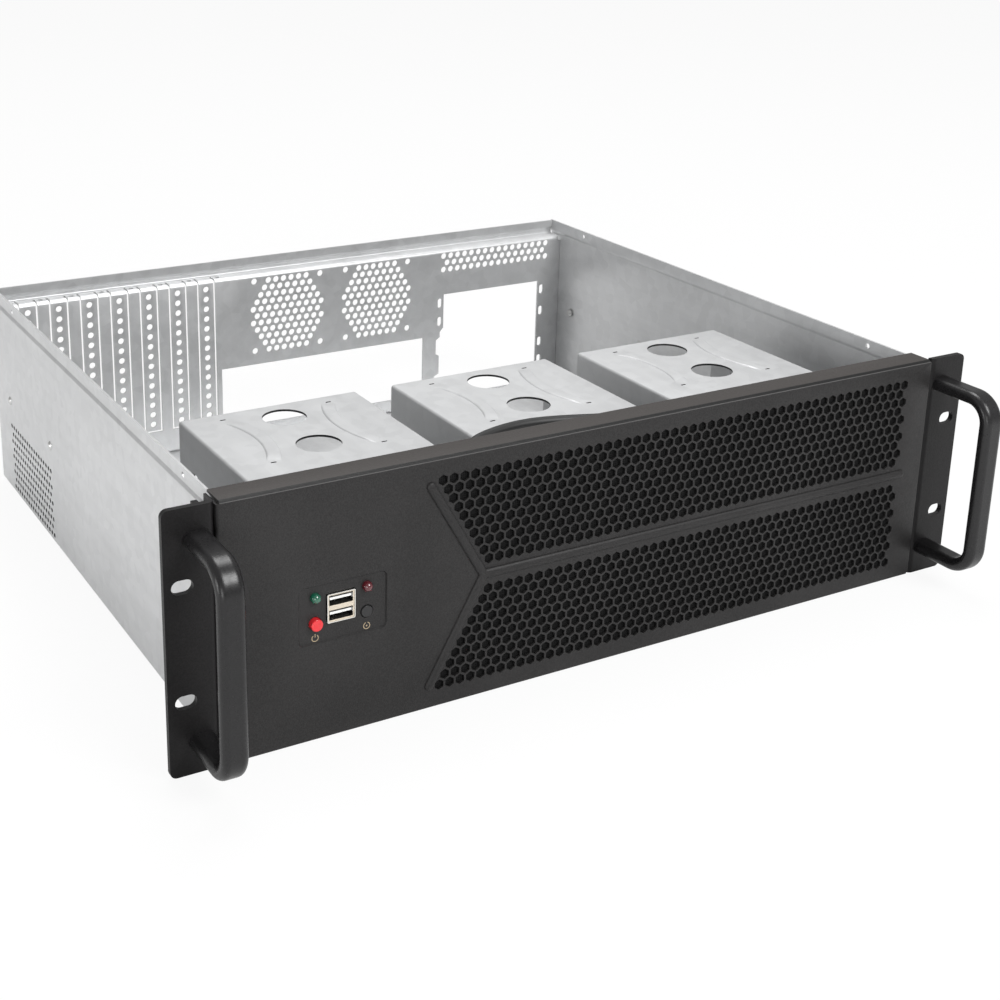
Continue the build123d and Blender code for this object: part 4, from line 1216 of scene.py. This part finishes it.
def makeCage(cage, name, centreX):
    half, foot, low, top = cage["half"], cage["foot"], cage["footTop"], cage["top"]
    left, right = foot, foot + 2 * half
    corners = [(0, low), (left, low), (left, top), (right, top), (right, low), (right + foot, low)]
    inner, outer = cage["bends"]
    starts, bends, length = layOut(corners, [inner, outer, outer, inner])
    middle = starts[2] + half
    front, rear = cage["frontY"], cage["rearY"]
    bm = bmesh.new()
    edges = drawLoop(bm, [(0, front), (length, front), (length, rear), (0, rear)])
    for y in cage["holesY"]:
        edges += drawHole(bm, middle, y, cage["hole"], cage["holeSides"])
    for side in (-1, 1):
        for y in cage["slitsY"]:
            edges += roundedLoop(bm, (middle + side * cage["slitX"], y), *cage["slit"])
    radius, slotLength = cage["slot"]
    for y in (front + cage["slotEdge"], rear - cage["slotEdge"]):
        for height in cage["slotHeights"]:
            for x in (starts[1] + height - low, starts[3] + top - height):
                edges += drawHole(bm, x, y, radius, length=slotLength, upright=True)
    for y in (front + cage["screwEdge"], rear - cage["screwEdge"]):
        for x in (foot / 2, length - foot / 2):
            edges += drawHole(bm, x, y, cage["screw"])
    fillSheet(bm, edges)
    foldSheet(bm, (1, 0, 0), bends)
    thicken(bm, case["sheet"])
    bmesh.ops.translate(bm, vec=(-half - foot, 0, low), verts=bm.verts)
    beads = makeBeads(cage)
    bm.from_mesh(beads)
    bpy.data.meshes.remove(beads)
    bmesh.ops.translate(bm, vec=(centreX, 0, up(0)), verts=bm.verts)
    finishPiece(bm, "cage_" + name, "cage", ["drive_cage_" + name])


for cageName, cageCentre in cage["centres"].items():
    makeCage(cage, cageName, cageCentre)
print("sheet metal folded")


# The other nodes keep their solids and take these finishes

finishes = {
    "galvanised": ["front_frame"],
    "ear": ["ear_left", "ear_right"],
    "handle": ["handle_left", "handle_right"],
    "zinc": [
        "rear_rivets",
        "side_rivets",
        "ear_screws",
        "handle_screws",
        "cage_screws",
        "board_screws",
        "board_spacers",
    ],
    "nickel": ["usb_shell"],
    "brass": ["board_standoffs"],
    "filter": ["dust_filter"],
    "blackPlastic": [
        "lamp_spacers",
        "power_switch",
        "reset_switch",
        "reset_button",
        "header_plug",
    ],
    "board": ["control_board"],
    "pale": ["usb_insert"],
    "greenLamp": ["power_lamp"],
    "redLamp": ["drive_lamp"],
    "redButton": ["power_button"],
}

for material, nodeNames in finishes.items():
    for nodeName in nodeNames:
        dress(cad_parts[nodeName].data, material)
print("nodes dressed")


# Pale floor, pale backdrop and soft studio light, all in metres

studio = {
    "floorSize": 30.0,
    "floorDrop": 0.0005,
    "floorTone": (0.86, 0.86, 0.86),
    "floorRough": 0.8,
    "floorGlow": 0.93,
    "backdropTone": (0.8, 0.8, 0.8),
    "worldLevel": 0.2,
    "mirrorShare": 0.45,
    "lights": [  # name, place, size and power
        ("key", (0.6, -1.6, 1.7), 1.2, 50.0),
        ("top", (0.3, 0.7, 2.3), 1.4, 40.0),
        ("left", (-2.2, 0.0, 0.1), 0.6, 11.0),
        ("front", (-1.5, -1.7, 0.25), 0.8, 10.0),
    ],
}


def showBehind(paint, shown, cameraShare, mirrorShare, output):
    # the camera and the reflections see this shader, and the light comes from the paint's own
    camera = paint.node("ShaderNodeLightPath", out="Is Camera Ray")
    mirrored = paint.node("ShaderNodeLightPath", out="Is Glossy Ray")
    share = (camera * cameraShare).larger(mirrored * mirrorShare)
    own = Wire(paint, paint.shader.outputs[0])
    mixed = paint.node("ShaderNodeMixShader", {}, {0: share, 1: own, 2: shown})
    paint.feed(paint.tree.nodes[output].inputs[0], mixed)


def makeFloor(studio):
    bm = bmesh.new()
    bmesh.ops.create_grid(bm, x_segments=1, y_segments=1, size=studio["floorSize"] / 2)
    bmesh.ops.translate(bm, vec=(0, 0, up(0) / 1000 - studio["floorDrop"]), verts=bm.verts)
    mesh = bpy.data.meshes.new("floor")
    bm.to_mesh(mesh)
    bm.free()
    floor = bpy.data.objects.new("floor", mesh)
    bpy.context.scene.collection.objects.link(floor)
    paint = newPaint("studio floor")
    paint.surface(colour=tone(studio["floorTone"]), rough=studio["floorRough"])
    sockets = {"Color": tone((1, 1, 1)), "Strength": 1.0}
    glow = paint.node("ShaderNodeEmission", {}, sockets)
    showBehind(paint, glow, studio["floorGlow"], studio["mirrorShare"], "Material Output")
    mesh.materials.append(paint.owner)


def makeWorld(studio):
    world = bpy.data.worlds.new("studio")
    bpy.context.scene.world = world
    paint = Paint(world, "Background")
    paint.feed(paint.shader.inputs["Color"], tone((1, 1, 1)))
    paint.feed(paint.shader.inputs["Strength"], studio["worldLevel"])
    sockets = {"Color": tone(studio["backdropTone"]), "Strength": 1.0}
    backdrop = paint.node("ShaderNodeBackground", {}, sockets)
    showBehind(paint, backdrop, 1.0, studio["mirrorShare"], "World Output")


def makeLights(studio):
    for name, place, size, power in studio["lights"]:
        data = bpy.data.lights.new(name, "AREA")
        data.shape = "DISK"
        data.size = size
        data.energy = power
        light = bpy.data.objects.new(name, data)
        bpy.context.scene.collection.objects.link(light)
        light.location = place
        light.rotation_mode = "QUATERNION"
        light.rotation_quaternion = (-Vector(place)).to_track_quat("-Z", "Y")


makeFloor(studio)
makeWorld(studio)
makeLights(studio)
bpy.context.scene.view_settings.view_transform = "Standard"
print("studio lit")
